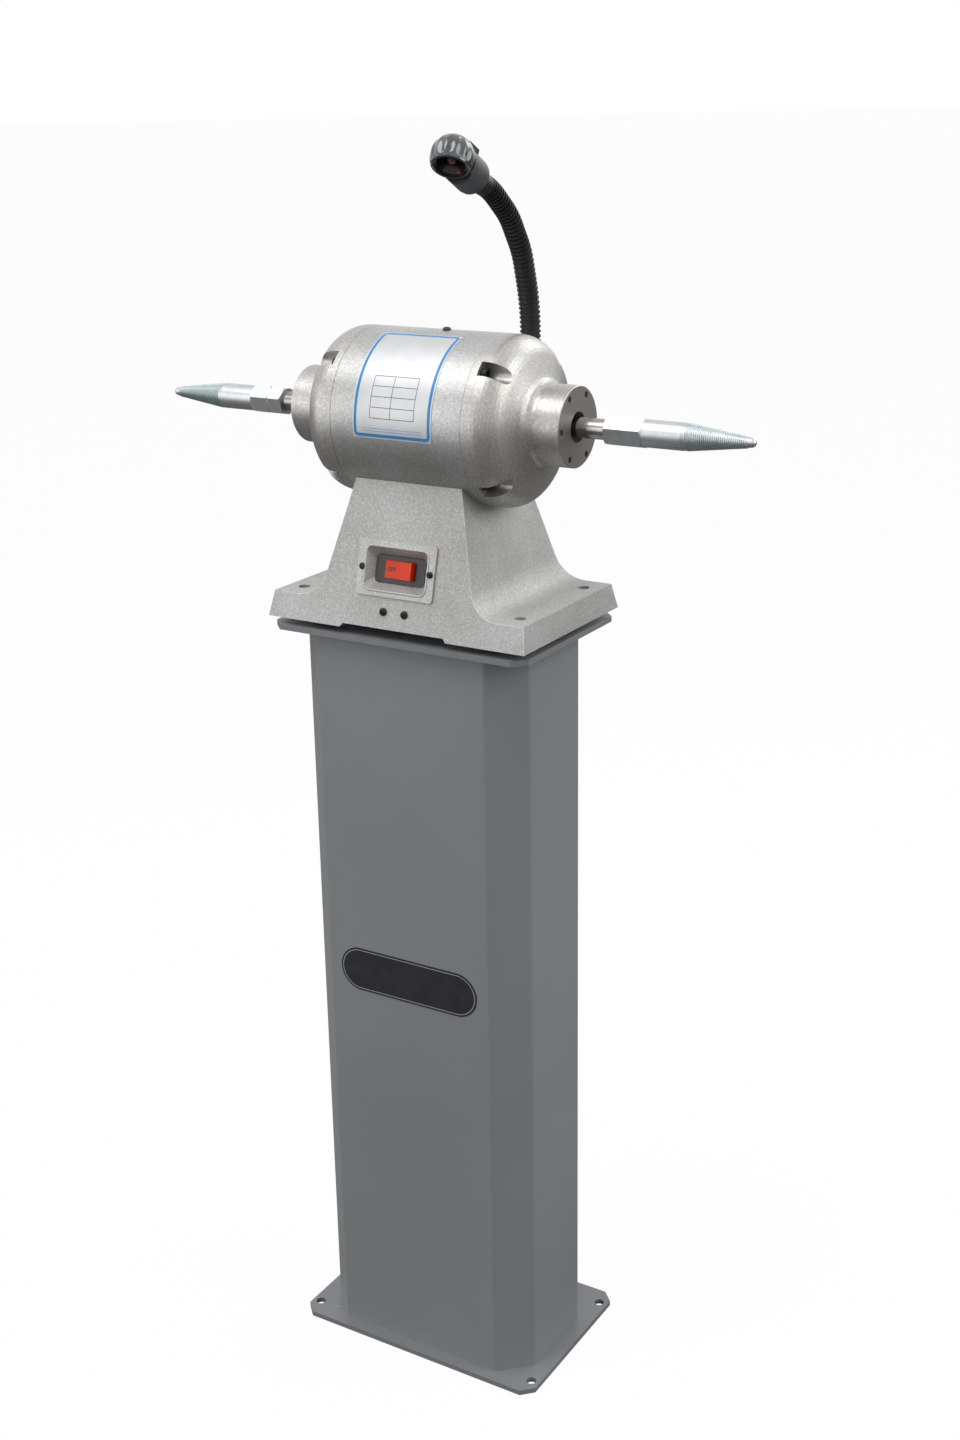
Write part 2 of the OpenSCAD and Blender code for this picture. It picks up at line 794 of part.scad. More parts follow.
module gland_cap() {
    color([0.12, 0.12, 0.12])
        on_rear(gland_x, gland_up)
            difference() {
                rotate_extrude()
                    polygon([
                        [7.5 + fit, 5.3], [10, 5.3], [10, 13], [8.2, 17.5], [gland_bore / 2, 17.5],
                        [gland_bore / 2, 14 + fit], [7.5 + fit, 14 + fit]
                    ]);
                for (a = [0:30:330])
                    rotate([0, 0, a]) translate([10.4, 0, 5]) cylinder(h = 8, r = 0.9);
            }
}

module saddle_bolts() {
    z0 = foot_z + cavity_top;
    color("dimgray")
        for (s = [-1, 1])
            translate([s * saddle_bolt_x, shaft_y, 0]) {
                translate([0, 0, z0 - 5.4]) cylinder(h = 5.4, d = saddle_bolt_d * 1.85, $fn = 6);
                translate([0, 0, z0 - 0.01]) cylinder(h = 16, d = saddle_bolt_d);
            }
}

// The bell screws sit at 45 degrees between the axes
module at_bell_screws() {
    for (a = [45:90:315])
        rotate([0, 0, a]) translate([bell_screw_r, 0, 0]) children();
}

// The rolled shell, with a small chamfer at each end where it meets a bell
module motor_shell() {
    color("silver")
        along_shaft()
            difference() {
                union() {
                    rotate_extrude($fn = 96)
                        polygon([
                            [core_r, -shell_half], [motor_r - seam, -shell_half],
                            [motor_r, seam - shell_half],
                            [motor_r, shell_half - seam],
                            [motor_r - seam, shell_half], [core_r, shell_half]
                        ]);
                    for (s = [0, 1])
                        mirror([0, 0, s])
                            at_bell_screws()
                                translate([0, 0, shell_half - spigot_l - boss_l])
                                    intersection() {
                                        cylinder(h = boss_l - fit, r = 7);
                                        translate([-bell_screw_r, 0, 0])
                                            cylinder(h = boss_l, r = core_r + 1);
                                    }
                }
                for (s = [0, 1])
                    mirror([0, 0, s])
                        at_bell_screws()
                            translate([0, 0, shell_half - spigot_l - boss_l + 2])
                                cylinder(h = spigot_l + boss_l, d = bell_screw_d + 2 * fit);
                translate([0, 0, plug_x]) rotate([0, -90, 0])
                    cylinder(h = motor_r + 5, d = plug_d - 3 + 2 * fit);
                rotate([0, 90, 0]) cylinder(h = motor_r + 5, d = lead_hole_d);
                for (s = [-1, 1])
                    translate([0, 0, s * saddle_bolt_x])
                        rotate([0, 90, 0])
                            translate([0, 0, core_r + 0.8])
                                cylinder(h = 10, d = saddle_bolt_d + 2 * fit);
            }
}

// A slotted stack of steel sheets
module stator_core() {
    slot_w = 1.1 * PI * stator_bore / slot_count;
    color("gray")
        along_shaft()
            translate([0, 0, -stack_l / 2])
                linear_extrude(stack_l)
                    difference() {
                        circle(r = core_r - fit);
                        circle(r = stator_bore);
                        for (i = [0:slot_count - 1])
                            rotate(i * 360 / slot_count)
                                translate([stator_bore - 1, -slot_w / 2]) square([slot_l, slot_w]);
                    }
}

// Copper in the slots, joined by the end turns at both sides
module stator_windings() {
    slot_w = 1.1 * PI * stator_bore / slot_count - 0.6;
    r0 = stator_bore + 3;
    r1 = stator_bore + slot_l - 1.4;
    color("chocolate")
        along_shaft()
            union() {
                translate([0, 0, -stack_l / 2 - 1])
                    linear_extrude(stack_l + 2)
                        for (i = [0:slot_count - 1])
                            rotate(i * 360 / slot_count)
                                translate([r0, -slot_w / 2]) square([r1 - r0, slot_w]);
                for (s = [0, 1])
                    mirror([0, 0, s])
                        translate([0, 0, stack_l / 2 + 0.4])
                            rotate_extrude()
                                polygon([
                                    [r0, 0], [r1, 0], [r1 + 3, 5],
                                    [r1 + 3, winding_l - 4], [r1 - 1, winding_l],
                                    [r0 + 3, winding_l], [r0, winding_l - 3]
                                ]);
            }
}

module rotor_core() {
    color("lightslategray")
        along_shaft()
            difference() {
                cylinder(h = stack_l, d = rotor_d, center = true);
                cylinder(h = stack_l + 2, d = rotor_shaft_d + 2 * fit, center = true);
            }
}

ring_l = 7;
fin_l = 9;
// Cast aluminium rings with short fan fins on both ends of the rotor
module rotor_end_rings() {
    r1 = rotor_d / 2 - 1;
    color("gainsboro")
        along_shaft()
            for (s = [0, 1])
                mirror([0, 0, s])
                    translate([0, 0, stack_l / 2])
                        union() {
                            difference() {
                                cylinder(h = ring_l, r = r1);
                                translate([0, 0, -1]) cylinder(h = ring_l + 2, r = r1 - 13);
                            }
                            for (a = [0:45:315])
                                rotate([0, 0, a])
                                    translate([r1 - 11, -1.2, ring_l - 0.5]) cube([9.5, 2.4, fin_l]);
                        }
}

// One turned bar: rotor seat, bearing seats, plain ends and threaded stubs
module shaft() {
    s_end = hex_from + hex_l / 4;
    t_end = hex_from + hex_l - 6;
    half = [
        [rotor_shaft_d / 2, 0], [rotor_shaft_d / 2, stack_l / 2 + 12],
        [rotor_shaft_d / 2 - 1, stack_l / 2 + 12],
        [rotor_shaft_d / 2 - 1, bearing_from],
        [bearing_id / 2, bearing_from], [bearing_id / 2, bearing_to],
        [bearing_id / 2, bearing_to + 3], [shaft_d / 2, bearing_to + 3], [shaft_d / 2, s_end],
        [stub_d / 2, s_end], [stub_d / 2, t_end - 1], [stub_d / 2 - 1, t_end]
    ];
    color("silver")
        along_shaft()
            for (s = [0, 1])
                mirror([0, 0, s])
                    rotate_extrude()
                        polygon(concat([[0, 0]], half, [[0, t_end]]));
}

// Outside of an end bell from its joint to the neck face, as [radius, distance]
function bell_outline() = concat(
    [[motor_r, shell_half]],
    ring_arc(dome_c, dome_r, 0, dome_turn, 9),
    ring_arc([neck_r + neck_fillet, fillet_end_x], neck_fillet, 180 + dome_turn, 180, 5),
    [[neck_r, neck_face - 0.8], [neck_r - 0.8, neck_face]]
);

// Hollow side of an end bell, back from the neck face to the spigot
function bell_inside(extra) = let (
    seat_r = bearing_od / 2 + fit,
    seat_to = bearing_to + extra,
    s0 = core_r - fit - spigot_wall
) [
    [neck_bore / 2, neck_face], [neck_bore / 2, seat_to + 5], [seat_r - 4, seat_to + 5],
    [seat_r - 4, seat_to], [seat_r, seat_to], [seat_r, bearing_from], [seat_r + 7, bearing_from - 4],
    [motor_r - 36, bearing_from - 9], [motor_r - 22, shell_half + 20], [motor_r - 22, shell_half + 5],
    [s0, shell_half + 2], [s0, shell_half - spigot_l], [core_r - fit, shell_half - spigot_l],
    [core_r - fit, shell_half]
];

// A cast end bell: spigot, dome, sloping end, neck, bearing seat and screw pockets
module end_bell(extra) {
    difference() {
        rotate_extrude($fn = 96) polygon(concat(bell_outline(), bell_inside(extra)));
        at_bell_screws() {
            translate([0, 0, seat_x]) cylinder(h = 60, d = pocket_w);
            translate([0, -pocket_w / 2, seat_x]) cube([30, pocket_w, 60]);
            translate([0, 0, shell_half - spigot_l - 1]) cylinder(h = 40, d = bell_screw_d + 0.6);
        }
        for (a = [30:60:330])
            rotate([0, 0, a])
                translate([guard_pcd / 2, 0, neck_face - guard_hole_l])
                    cylinder(h = guard_hole_l + 1, d = guard_hole_d);
    }
}

module left_end_bell() {
    color("silver") mirror([1, 0, 0]) along_shaft() end_bell(spring_t);
}

module right_end_bell() {
    color("silver") along_shaft() end_bell(0);
}

module bell_screw_set() {
    at_bell_screws()
        translate([0, 0, seat_x]) socket_screw(10, 6, bell_screw_d, bell_screw_l);
}

module left_bell_screws() {
    color([0.1, 0.1, 0.1]) mirror([1, 0, 0]) along_shaft() bell_screw_set();
}

module right_bell_screws() {
    color([0.1, 0.1, 0.1]) along_shaft() bell_screw_set();
}

module outer_race() {
    translate([0, 0, bearing_from])
        difference() {
            cylinder(h = bearing_w, d = bearing_od);
            translate([0, 0, -1]) cylinder(h = bearing_w + 2, r = bearing_od / 2 - race_wall);
            translate([0, 0, bearing_w / 2])
                rotate_extrude() translate([ball_pcr, 0]) circle(r = groove_r, $fn = 24);
        }
}

module inner_race() {
    translate([0, 0, bearing_from])
        difference() {
            cylinder(h = bearing_w, r = bearing_id / 2 + race_wall);
            translate([0, 0, -1]) cylinder(h = bearing_w + 2, d = bearing_id + 2 * fit);
            translate([0, 0, bearing_w / 2])
                rotate_extrude() translate([ball_pcr, 0]) circle(r = groove_r, $fn = 24);
        }
}

module ball_cage() {
    w = 2 * groove_r + 1.6;
    translate([0, 0, bearing_from + bearing_w / 2])
        difference() {
            cylinder(h = w, r = ball_pcr + 1.2, center = true);
            cylinder(h = w + 2, r = ball_pcr - 1.2, center = true);
            for (i = [0:ball_count - 1])
                rotate([0, 0, i * 360 / ball_count])
                    translate([ball_pcr - 4, 0, 0]) rotate([0, 90, 0]) cylinder(h = 8, r = groove_r);
        }
}

module ball_set() {
    translate([0, 0, bearing_from + bearing_w / 2])
        for (i = [0:ball_count - 1])
            rotate([0, 0, i * 360 / ball_count])
                translate([ball_pcr, 0, 0]) sphere(r = ball_r, $fn = 32);
}

module left_bearing_outer_race() {
    color("lightgray") mirror([1, 0, 0]) along_shaft() outer_race();
}

module left_bearing_inner_race() {
    color("lightgray") mirror([1, 0, 0]) along_shaft() inner_race();
}

module left_bearing_cage() {
    color("gold") mirror([1, 0, 0]) along_shaft() ball_cage();
}

module left_bearing_balls() {
    color("white") mirror([1, 0, 0]) along_shaft() ball_set();
}

module right_bearing_outer_race() {
    color("lightgray") along_shaft() outer_race();
}

module right_bearing_inner_race() {
    color("lightgray") along_shaft() inner_race();
}

module right_bearing_cage() {
    color("gold") along_shaft() ball_cage();
}

module right_bearing_balls() {
    color("white") along_shaft() ball_set();
}

// Pushes the left bearing inwards, so the shaft has no end play
module bearing_spring_washer() {
    color("lightgray")
        mirror([1, 0, 0])
            along_shaft()
                translate([0, 0, bearing_to + 0.1])
                    difference() {
                        cylinder(h = spring_t - 0.2, d = bearing_od - 1);
                        translate([0, 0, -1]) cylinder(h = spring_t + 2, d = bearing_od - 8);
                    }
}

hex_turn = 14;
// A spindle that screws onto the shaft end: hexagon, barrel and long taper
module spindle_body() {
    af_r = hex_af / sqrt(3);
    b = barrel_d / 2;
    x1 = hex_from + hex_l;
    x2 = x1 + barrel_l;
    x3 = x2 + taper_l;
    t = tip_d / 2;
    difference() {
        union() {
            intersection() {
                translate([0, 0, hex_from])
                    rotate([0, 0, 30 - hex_turn]) cylinder(h = hex_l, r = af_r, $fn = 6);
                rotate_extrude()
                    polygon([
                        [0, hex_from - 1], [hex_af / 2 - 0.9, hex_from - 0.3],
                        [af_r + 0.5, hex_from + 1.9],
                        [af_r + 0.5, x1 - 1.9], [hex_af / 2 - 0.9, x1 + 0.3], [0, x1 + 1]
                    ]);
            }
            rotate_extrude()
                polygon(concat(
                    [[0, x1 - 5], [b, x1 - 5], [b, x2 - 1.5], [b - 0.3, x2]],
                    ring_arc([0, x3 - t], t, 8, 82, 6),
                    [[0, x3]]
                ));
        }
        translate([0, 0, hex_from - 1]) cylinder(h = hex_l / 4 + 1.2, d = shaft_d + 2 * fit);
        translate([0, 0, hex_from]) cylinder(h = hex_l - 4, d = stub_d + 2 * fit);
    }
}

// The left spindle carries a groove on its hexagon that marks its left-hand thread
module left_spindle() {
    color("silver")
        mirror([1, 0, 0])
            along_shaft()
                difference() {
                    spindle_body();
                    translate([0, 0, hex_from + mark_at])
                        difference() {
                            cylinder(h = 1, r = hex_af);
                            translate([0, 0, -1]) cylinder(h = 3, r = hex_af / 2 + 0.7);
                        }
                }
}

module right_spindle() {
    color("silver") along_shaft() spindle_body();
}

module top_plug() {
    h = 3;
    r = plug_d / 2;
    color([0.1, 0.1, 0.1])
        translate([plug_x, shaft_y, axis_z + motor_r])
            rotate_extrude()
                polygon([
                    [0, -shell_wall], [r - 1.5, -shell_wall], [r - 1.5, 0.02], [r, 0.02], [r, h * 0.4],
                    [r * 0.8, h * 0.8], [r * 0.4, h], [0, h]
                ]);
}

module nameplate() {
    color("white")
        along_shaft()
            translate([0, 0, -label_off])
                rotate([0, 0, 180 + label_from])
                    rotate_extrude(angle = label_turn, $fn = 96)
                        translate([motor_r + fit, -label_w / 2]) square([label_t, label_w]);
}

// An angle bracket on the rear of the casting that carries the lamp arm
module lamp_bracket() {
    y_wall = -front_y(foot_z + bracket_up);
    color("silver")
        difference() {
            union() {
                translate([arm_x, arm_y, foot_z + bracket_up]) cylinder(h = bracket_t, d = bracket_w);
                translate([arm_x - bracket_w / 2, y_wall, foot_z + bracket_up])
                    cube([bracket_w, arm_y - y_wall, bracket_t]);
                on_rear(arm_x, bracket_up)
                    translate([-bracket_w / 2, -bracket_drop - 14, fit])
                        cube([bracket_w, bracket_drop + 14 + bracket_t / cos(face_lean), bracket_t]);
            }
            translate([arm_x, arm_y, foot_z]) cylinder(h = bracket_up + 40, d = stud_d + 2 * fit);
            for (s = [-1, 1])
                on_rear(arm_x + s * bracket_screw_x / 2, bracket_up - bracket_drop)
                    translate([0, 0, -2]) cylinder(h = 12, d = bracket_screw_d + 0.5);
        }
}

module lamp_bracket_screws() {
    color("dimgray")
        for (s = [-1, 1])
            on_rear(arm_x + s * bracket_screw_x / 2, bracket_up - bracket_drop)
                translate([0, 0, bracket_t + fit]) pan_screw(9, 3.2, bracket_screw_d, bracket_t + 6.5);
}

stud_d = 12;
// The fixed end of the arm: a threaded stud, a round collar and the first ball
module neck_base() {
    r = groove_d / 2;
    color([0.1, 0.1, 0.1])
        translate([arm_x, arm_y, arm_z])
            difference() {
                union() {
                    translate([0, 0, -bracket_t - 12]) cylinder(h = bracket_t + 12.01, d = stud_d);
                    cylinder(h = collar_l - joint_gap, d = rib_d);
                    translate([0, 0, collar_l]) sphere(r = ball_joint_r, $fn = 48);
                }
                translate([0, 0, -40]) cylinder(h = 100, d = arm_bore - 3);
            }
}

module neck_nut() {
    color("silver")
        translate([arm_x, arm_y, arm_z - bracket_t - 7])
            difference() {
                cylinder(h = 7 - fit, d = stud_d * 1.75, $fn = 6);
                translate([0, 0, -1]) cylinder(h = 10, d = stud_d + 2 * fit);
            }
}

// Puts children at joint k of the arm, with +Z along the arm there
module at_joint(k) {
    p = link_at(k);
    translate([arm_x, p[0], p[1]]) rotate([link_tilt(k), 0, 0]) children();
}

// The profile of a straight length with n ribs, from half a groove to half a groove
function ribbed(n, p) = [
    for (i = [0:n - 1], q = [[groove_d, 0], [rib_d, 0], [rib_d, rib_w], [groove_d, rib_w]])
        [q[0] / 2, (i + 0.5) * p - rib_w / 2 + q[1]]
];

// One straight end with two ribs, which holds the cup or the ball
module link_end() {
    rotate_extrude($fn = 48)
        polygon(concat([[0, joint_gap]], ribbed(2, rib_pitch), [[groove_d / 2, end_l], [0, end_l]]));
}

// A straight link: the ribs are one turned profile
module straight_link() {
    n = round(straight_l / rib_pitch);
    p = straight_l / n;
    difference() {
        union() {
            rotate_extrude($fn = 48)
                polygon(concat([[0, (p - rib_w) / 2]], ribbed(n, p), [[0, straight_l - (p - rib_w) / 2]]));
            translate([0, 0, straight_l]) sphere(r = ball_joint_r, $fn = 48);
        }
        sphere(r = ball_joint_r + run, $fn = 48);
        translate([0, 0, -1]) cylinder(h = straight_l + 40, d = arm_bore);
    }
}

// The arc of a bent link as a bar that reaches a little into both straight ends
module link_arc(r, bend, d) {
    over = 0.5 / r * 180 / PI;
    rotate([0, 0, -over])
        rotate_extrude(angle = bend + 2 * over, $fn = 96)
            translate([r, 0]) circle(d = d, $fn = 48);
}

// A bent link: an arc of tube with ribs, between two straight ends; the last one ends in a sleeve
module bent_link(r, bend, last) {
    tail = last ? sleeve_l : end_l;
    n = round(r * bend * PI / 180 / rib_pitch);
    step = bend / n;
    rib_a = rib_w / r * 180 / PI;
    difference() {
        union() {
            link_end();
            translate([0, -r, end_l])
                rotate([90, 0, 90]) {
                    link_arc(r, bend, groove_d - arc_step);
                    for (i = [0:n - 1])
                        rotate([0, 0, (i + 0.5) * step - rib_a / 2])
                            rotate_extrude(angle = rib_a, $fn = 96)
                                translate([r, 0]) circle(d = rib_d, $fn = 48);
                }
            at_link_end(r, bend, tail)
                mirror([0, 0, 1])
                    if (last)
                        translate([0, 0, joint_gap]) cylinder(h = tail - joint_gap, d = rib_d);
                    else
                        link_end();
            if (!last)
                at_link_end(r, bend, tail) sphere(r = ball_joint_r, $fn = 48);
        }
        sphere(r = ball_joint_r + run, $fn = 48);
        translate([0, 0, -1]) cylinder(h = end_l + 1, d = arm_bore);
        translate([0, -r, end_l])
            rotate([90, 0, 90]) link_arc(r, bend, arm_bore - arc_step);
        at_link_end(r, bend, tail)
            translate([0, 0, -tail]) cylinder(h = tail + 20, d = arm_bore);
    }
}

// The far joint of a bent link, in the frame of its near joint
module at_link_end(r, bend, tail) {
    translate([0, -r, end_l])
        rotate([bend, 0, 0])
            translate([0, r, tail]) children();
}

module neck_link_1() {
    color([0.1, 0.1, 0.1]) at_joint(1) straight_link();
}

module neck_link_2() {
    color([0.1, 0.1, 0.1]) at_joint(2) straight_link();
}

module neck_link_3() {
    color([0.1, 0.1, 0.1]) at_joint(3) bent_link(bend_r1, bend_first, false);
}

module neck_link_4() {
    color([0.1, 0.1, 0.1]) at_joint(4) bent_link(bend_r2, bend_rest, false);
}

module neck_link_5() {
    color([0.1, 0.1, 0.1]) at_joint(5) bent_link(bend_r2, bend_rest, false);
}

module neck_link_6() {
    color([0.1, 0.1, 0.1]) at_joint(6) bent_link(bend_r2, bend_rest, true);
}

// The lamp's frame: the end of the arm, with +Z along the lamp body
module at_lamp() {
    at_joint(7) rotate([-head_lift, 0, 0]) children();
}

// The mouth's frame: the middle of the hood, with +Z out of the mouth
module at_mouth() {
    p = link_at(7);
    a = link_tilt(7) - head_lift;
    translate([arm_x, p[0] - lamp_l * sin(a), p[1] + lamp_l * cos(a)])
        rotate([0, 0, mouth_yaw])
            rotate([90 + mouth_dip, 0, 0]) children();
}

lamp_r = lamp_d / 2;
hood_r = hood_d / 2;
rim_w = 3.6;
rim_up = sqrt(pow(hood_r, 2) - pow(mouth_d / 2 + rim_w + 0.15, 2));
seam_l = lamp_l - sqrt(hood_r * hood_r - pow(lamp_r - 0.5, 2));
hollow_l = lamp_l - 24;
rocker_at = lamp_l - 21.3;
seat_r = (hood_r + fit) / cos(3);
lamp_pivot = lamp_r + 0.6;
// The grey lamp body: a blunt tube with a seat for the round hood and a switch well
module lamp_body() {
    i = lamp_r - lamp_wall;
    color("dimgray")
        difference() {
            union() {
                at_lamp()
                    union() {
                        rotate_extrude()
                            polygon([
                                [0, 1.4], [lamp_r - 8, 1.4], [lamp_r - 3, 3],
                                [lamp_r - 0.8, 6], [lamp_r, 10],
                                [lamp_r, seam_l], [0, seam_l]
                            ]);
                        translate([-6, lamp_r - 4, rocker_at - 9.2]) cube([12, 6, 18]);
                    }
                at_joint(7) translate([0, 0, -joint_gap]) cylinder(h = joint_gap + 6, d = groove_d);
            }
            at_lamp() {
                translate([0, 0, 10]) cylinder(h = hollow_l - 10, r = i);
                translate([0, 0, -5]) cylinder(h = lamp_l, d = arm_bore - 2);
                translate([-3.6, lamp_r - 8, rocker_at - 6.7]) cube([7.2, 12, 13.4]);
                translate([0, lamp_pivot, rocker_at])
                    rotate([0, 90, 0]) cylinder(h = 14, r = 0.8 + run, center = true);
                rotate_extrude()
                    polygon(concat(
                        [[0, lamp_l]], ring_arc([0, lamp_l], seat_r, 270, 330, 10),
                        [[lamp_r + 1, lamp_l]]
                    ));
            }
            at_mouth() translate([0, 0, rim_up]) cylinder(h = 60, r = mouth_d / 2 + rim_w + 1.5);
        }
}

// The round hood over the bulb, cut open at the mouth
module lamp_hood() {
    color("silver")
        at_mouth()
            difference() {
                sphere(r = hood_r, $fn = 64);
                sphere(r = hood_r - lamp_wall, $fn = 64);
                translate([0, 0, rim_up]) cylinder(h = 60, r = 60);
            }
}

// The thick lip round the mouth
module lamp_rim() {
    r = mouth_d / 2;
    color("lightgray")
        at_mouth()
            rotate_extrude()
                polygon([
                    [r, rim_up], [r + rim_w, rim_up], [r + rim_w - 0.8, rim_up + 2.4],
                    [r + 1.2, rim_up + 3.2], [r, rim_up + 2.4]
                ]);
}

// A dark bowl behind the bulb, hung from the lip, with the bulb holder at its bottom
module lamp_reflector() {
    r = mouth_d / 2;
    color([0.2, 0.2, 0.2])
        at_mouth()
            difference() {
                rotate_extrude()
                    polygon([
                        [r + 1.2, rim_up], [r + 1.2, rim_up - 1],
                        [r - 0.6, rim_up - 1], [9, -5], [5, -8],
                        [5, -13], [0, -13], [0, -9], [3.6, -6.4], [8, -4], [r - 1.8, rim_up]
                    ]);
                translate([0, 0, -11.5]) cylinder(h = 10, d = 4 + 2 * fit);
            }
}

module lamp_bulb() {
    color("mistyrose")
        at_mouth()
            rotate_extrude()
                polygon(concat(
                    [[0, -10.8], [2, -10.8], [2, -5.4], [2, -4.2], [4.4, -1.6], [4.5, 2]],
                    ring_arc([0, 2], 4.5, 10, 80, 6),
                    [[0, 6.5]]
                ));
}

module lamp_rocker() {
    color([0.1, 0.1, 0.1])
        at_lamp()
            translate([0, lamp_pivot, rocker_at])
                rotate([rocker_lean, 0, 0])
                    rotate([0, 90, 0])
                        union() {
                            linear_extrude(6.6, center = true)
                                polygon([[-6.2, -1.2], [6.2, -1.2], [6.2, 2.9], [0, 2], [-6.2, 2.9]]);
                            cylinder(h = 11, r = 0.8, center = true);
                        }
}
rocker_lean = 8;

pedestal_base_plate();
pedestal_column();
pedestal_top_plate();
column_badge();
rubber_pads();
machine_bolts();
machine_bolt_washers();
machine_base();
base_cover_plate();
base_cover_screws();
switch_plate();
switch_plate_screws();
main_switch_body();
main_switch_rocker();
terminal_screws();
terminal_block();
run_capacitor();
capacitor_clip();
cable_gland();
gland_cap();
saddle_bolts();
motor_shell();
stator_core();
stator_windings();
rotor_core();
rotor_end_rings();
shaft();
left_end_bell();
right_end_bell();
left_bell_screws();
right_bell_screws();
left_bearing_outer_race();
left_bearing_inner_race();
left_bearing_cage();
left_bearing_balls();
right_bearing_outer_race();
right_bearing_inner_race();
right_bearing_cage();
right_bearing_balls();
bearing_spring_washer();
left_spindle();
right_spindle();
top_plug();
nameplate();
lamp_bracket();
lamp_bracket_screws();
neck_base();
neck_nut();
neck_link_1();
neck_link_2();
neck_link_3();
neck_link_4();
neck_link_5();
neck_link_6();
lamp_body();
lamp_hood();
lamp_rim();
lamp_reflector();
lamp_bulb();
lamp_rocker();
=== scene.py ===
import math

import bpy
from mathutils import Matrix, Vector


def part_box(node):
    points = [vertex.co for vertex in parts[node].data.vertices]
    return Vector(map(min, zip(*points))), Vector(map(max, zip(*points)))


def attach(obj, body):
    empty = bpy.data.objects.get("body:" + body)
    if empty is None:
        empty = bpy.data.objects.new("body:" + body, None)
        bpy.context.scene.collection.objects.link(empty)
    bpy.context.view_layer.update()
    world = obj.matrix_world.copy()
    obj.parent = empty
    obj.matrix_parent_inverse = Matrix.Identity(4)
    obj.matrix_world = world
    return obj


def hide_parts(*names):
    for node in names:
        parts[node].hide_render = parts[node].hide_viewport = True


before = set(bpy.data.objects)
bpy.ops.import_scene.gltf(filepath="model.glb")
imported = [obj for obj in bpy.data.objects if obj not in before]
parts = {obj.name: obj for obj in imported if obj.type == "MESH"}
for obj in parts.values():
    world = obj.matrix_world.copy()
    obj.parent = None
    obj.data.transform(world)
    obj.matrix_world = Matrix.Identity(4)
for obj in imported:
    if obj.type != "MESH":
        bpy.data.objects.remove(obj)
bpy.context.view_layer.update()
print("frame loaded:", len(parts), "nodes")

mm = 0.001  # sizes below are in millimetres, in the frame of the machine, unless a note says metres
metre = 1000  # in millimetres: divided by the size of a pattern it gives the pattern's Scale
shaftAxis = (2.0, 1061.0)  # how far it lies behind the middle of the machine, and above the floor

camera = {
    "place": (1008.19, -1576.3, 1386.91),
    "turn": 31.51,  # degrees round the machine from its front
    "raise": 19.17,  # degrees above the level
    "roll": -0.98,  # degrees
    "lens": 46.73,  # focal length
    "farthest": 60.0,  # metres
}
turn, tip, roll = (math.radians(camera[key]) for key in ("turn", "raise", "roll"))
backward = Vector((math.sin(turn) * math.cos(tip), -math.cos(turn) * math.cos(tip), math.sin(tip)))
level = Vector((math.cos(turn), math.sin(turn), 0))
rise = backward.cross(level)
across = level * math.cos(roll) + rise * math.sin(roll)
upright = rise * math.cos(roll) - level * math.sin(roll)
cameraData = bpy.data.cameras.new("camera")
cameraData.lens = camera["lens"]
cameraData.clip_end = camera["farthest"]
cameraObject = bpy.data.objects.new("camera", cameraData)
bpy.context.scene.collection.objects.link(cameraObject)
cameraPlace = Matrix.Translation(Vector(camera["place"]) * mm)
cameraObject.matrix_world = cameraPlace @ Matrix((across, upright, backward)).transposed().to_4x4()
bpy.context.scene.camera = cameraObject
bpy.context.scene.view_settings.view_transform = "Standard"
print("camera set")


# Turns an sRGB hex colour to linear along the sRGB curve
def linear(hexColour):
    channels = [int(hexColour[i:i + 2], 16) / 255 for i in (1, 3, 5)]
    return tuple(c / 12.92 if c <= 0.04045 else ((c + 0.055) / 1.055) ** 2.4 for c in channels) + (1,)


# Adds one node: a socket is linked, a hex colour is turned to linear, anything else is set
def addNode(mat, kind, inputs=None, out=0, stops=(), **settings):
    tree = mat.node_tree
    made = tree.nodes.new("ShaderNode" + kind)
    for name, value in settings.items():
        setattr(made, name, value)
    for key, value in (inputs or {}).items():
        if isinstance(value, bpy.types.NodeSocket):
            tree.links.new(value, made.inputs[key])
        else:
            made.inputs[key].default_value = linear(value) if isinstance(value, str) else value
    for index, (spot, value) in enumerate(stops):
        points = made.color_ramp.elements
        point = points[index] if index < len(points) else points.new(spot)
        point.position = spot
        point.color = linear(value) if isinstance(value, str) else (value, value, value, 1)
    return made.outputs[out] if made.outputs else made


def newMaterial(name):
    mat = bpy.data.materials.new(name)
    mat.use_nodes = True
    mat.node_tree.nodes.clear()
    return mat, addNode(mat, "TexCoord", out="Object")


def finishMaterial(mat, shader):
    addNode(mat, "OutputMaterial", {"Surface": addNode(mat, "BsdfPrincipled", shader)})
    return mat


def dress(mat, *names):
    for name in names:
        data = parts[name].data
        data.materials.clear()
        data.materials.append(mat)


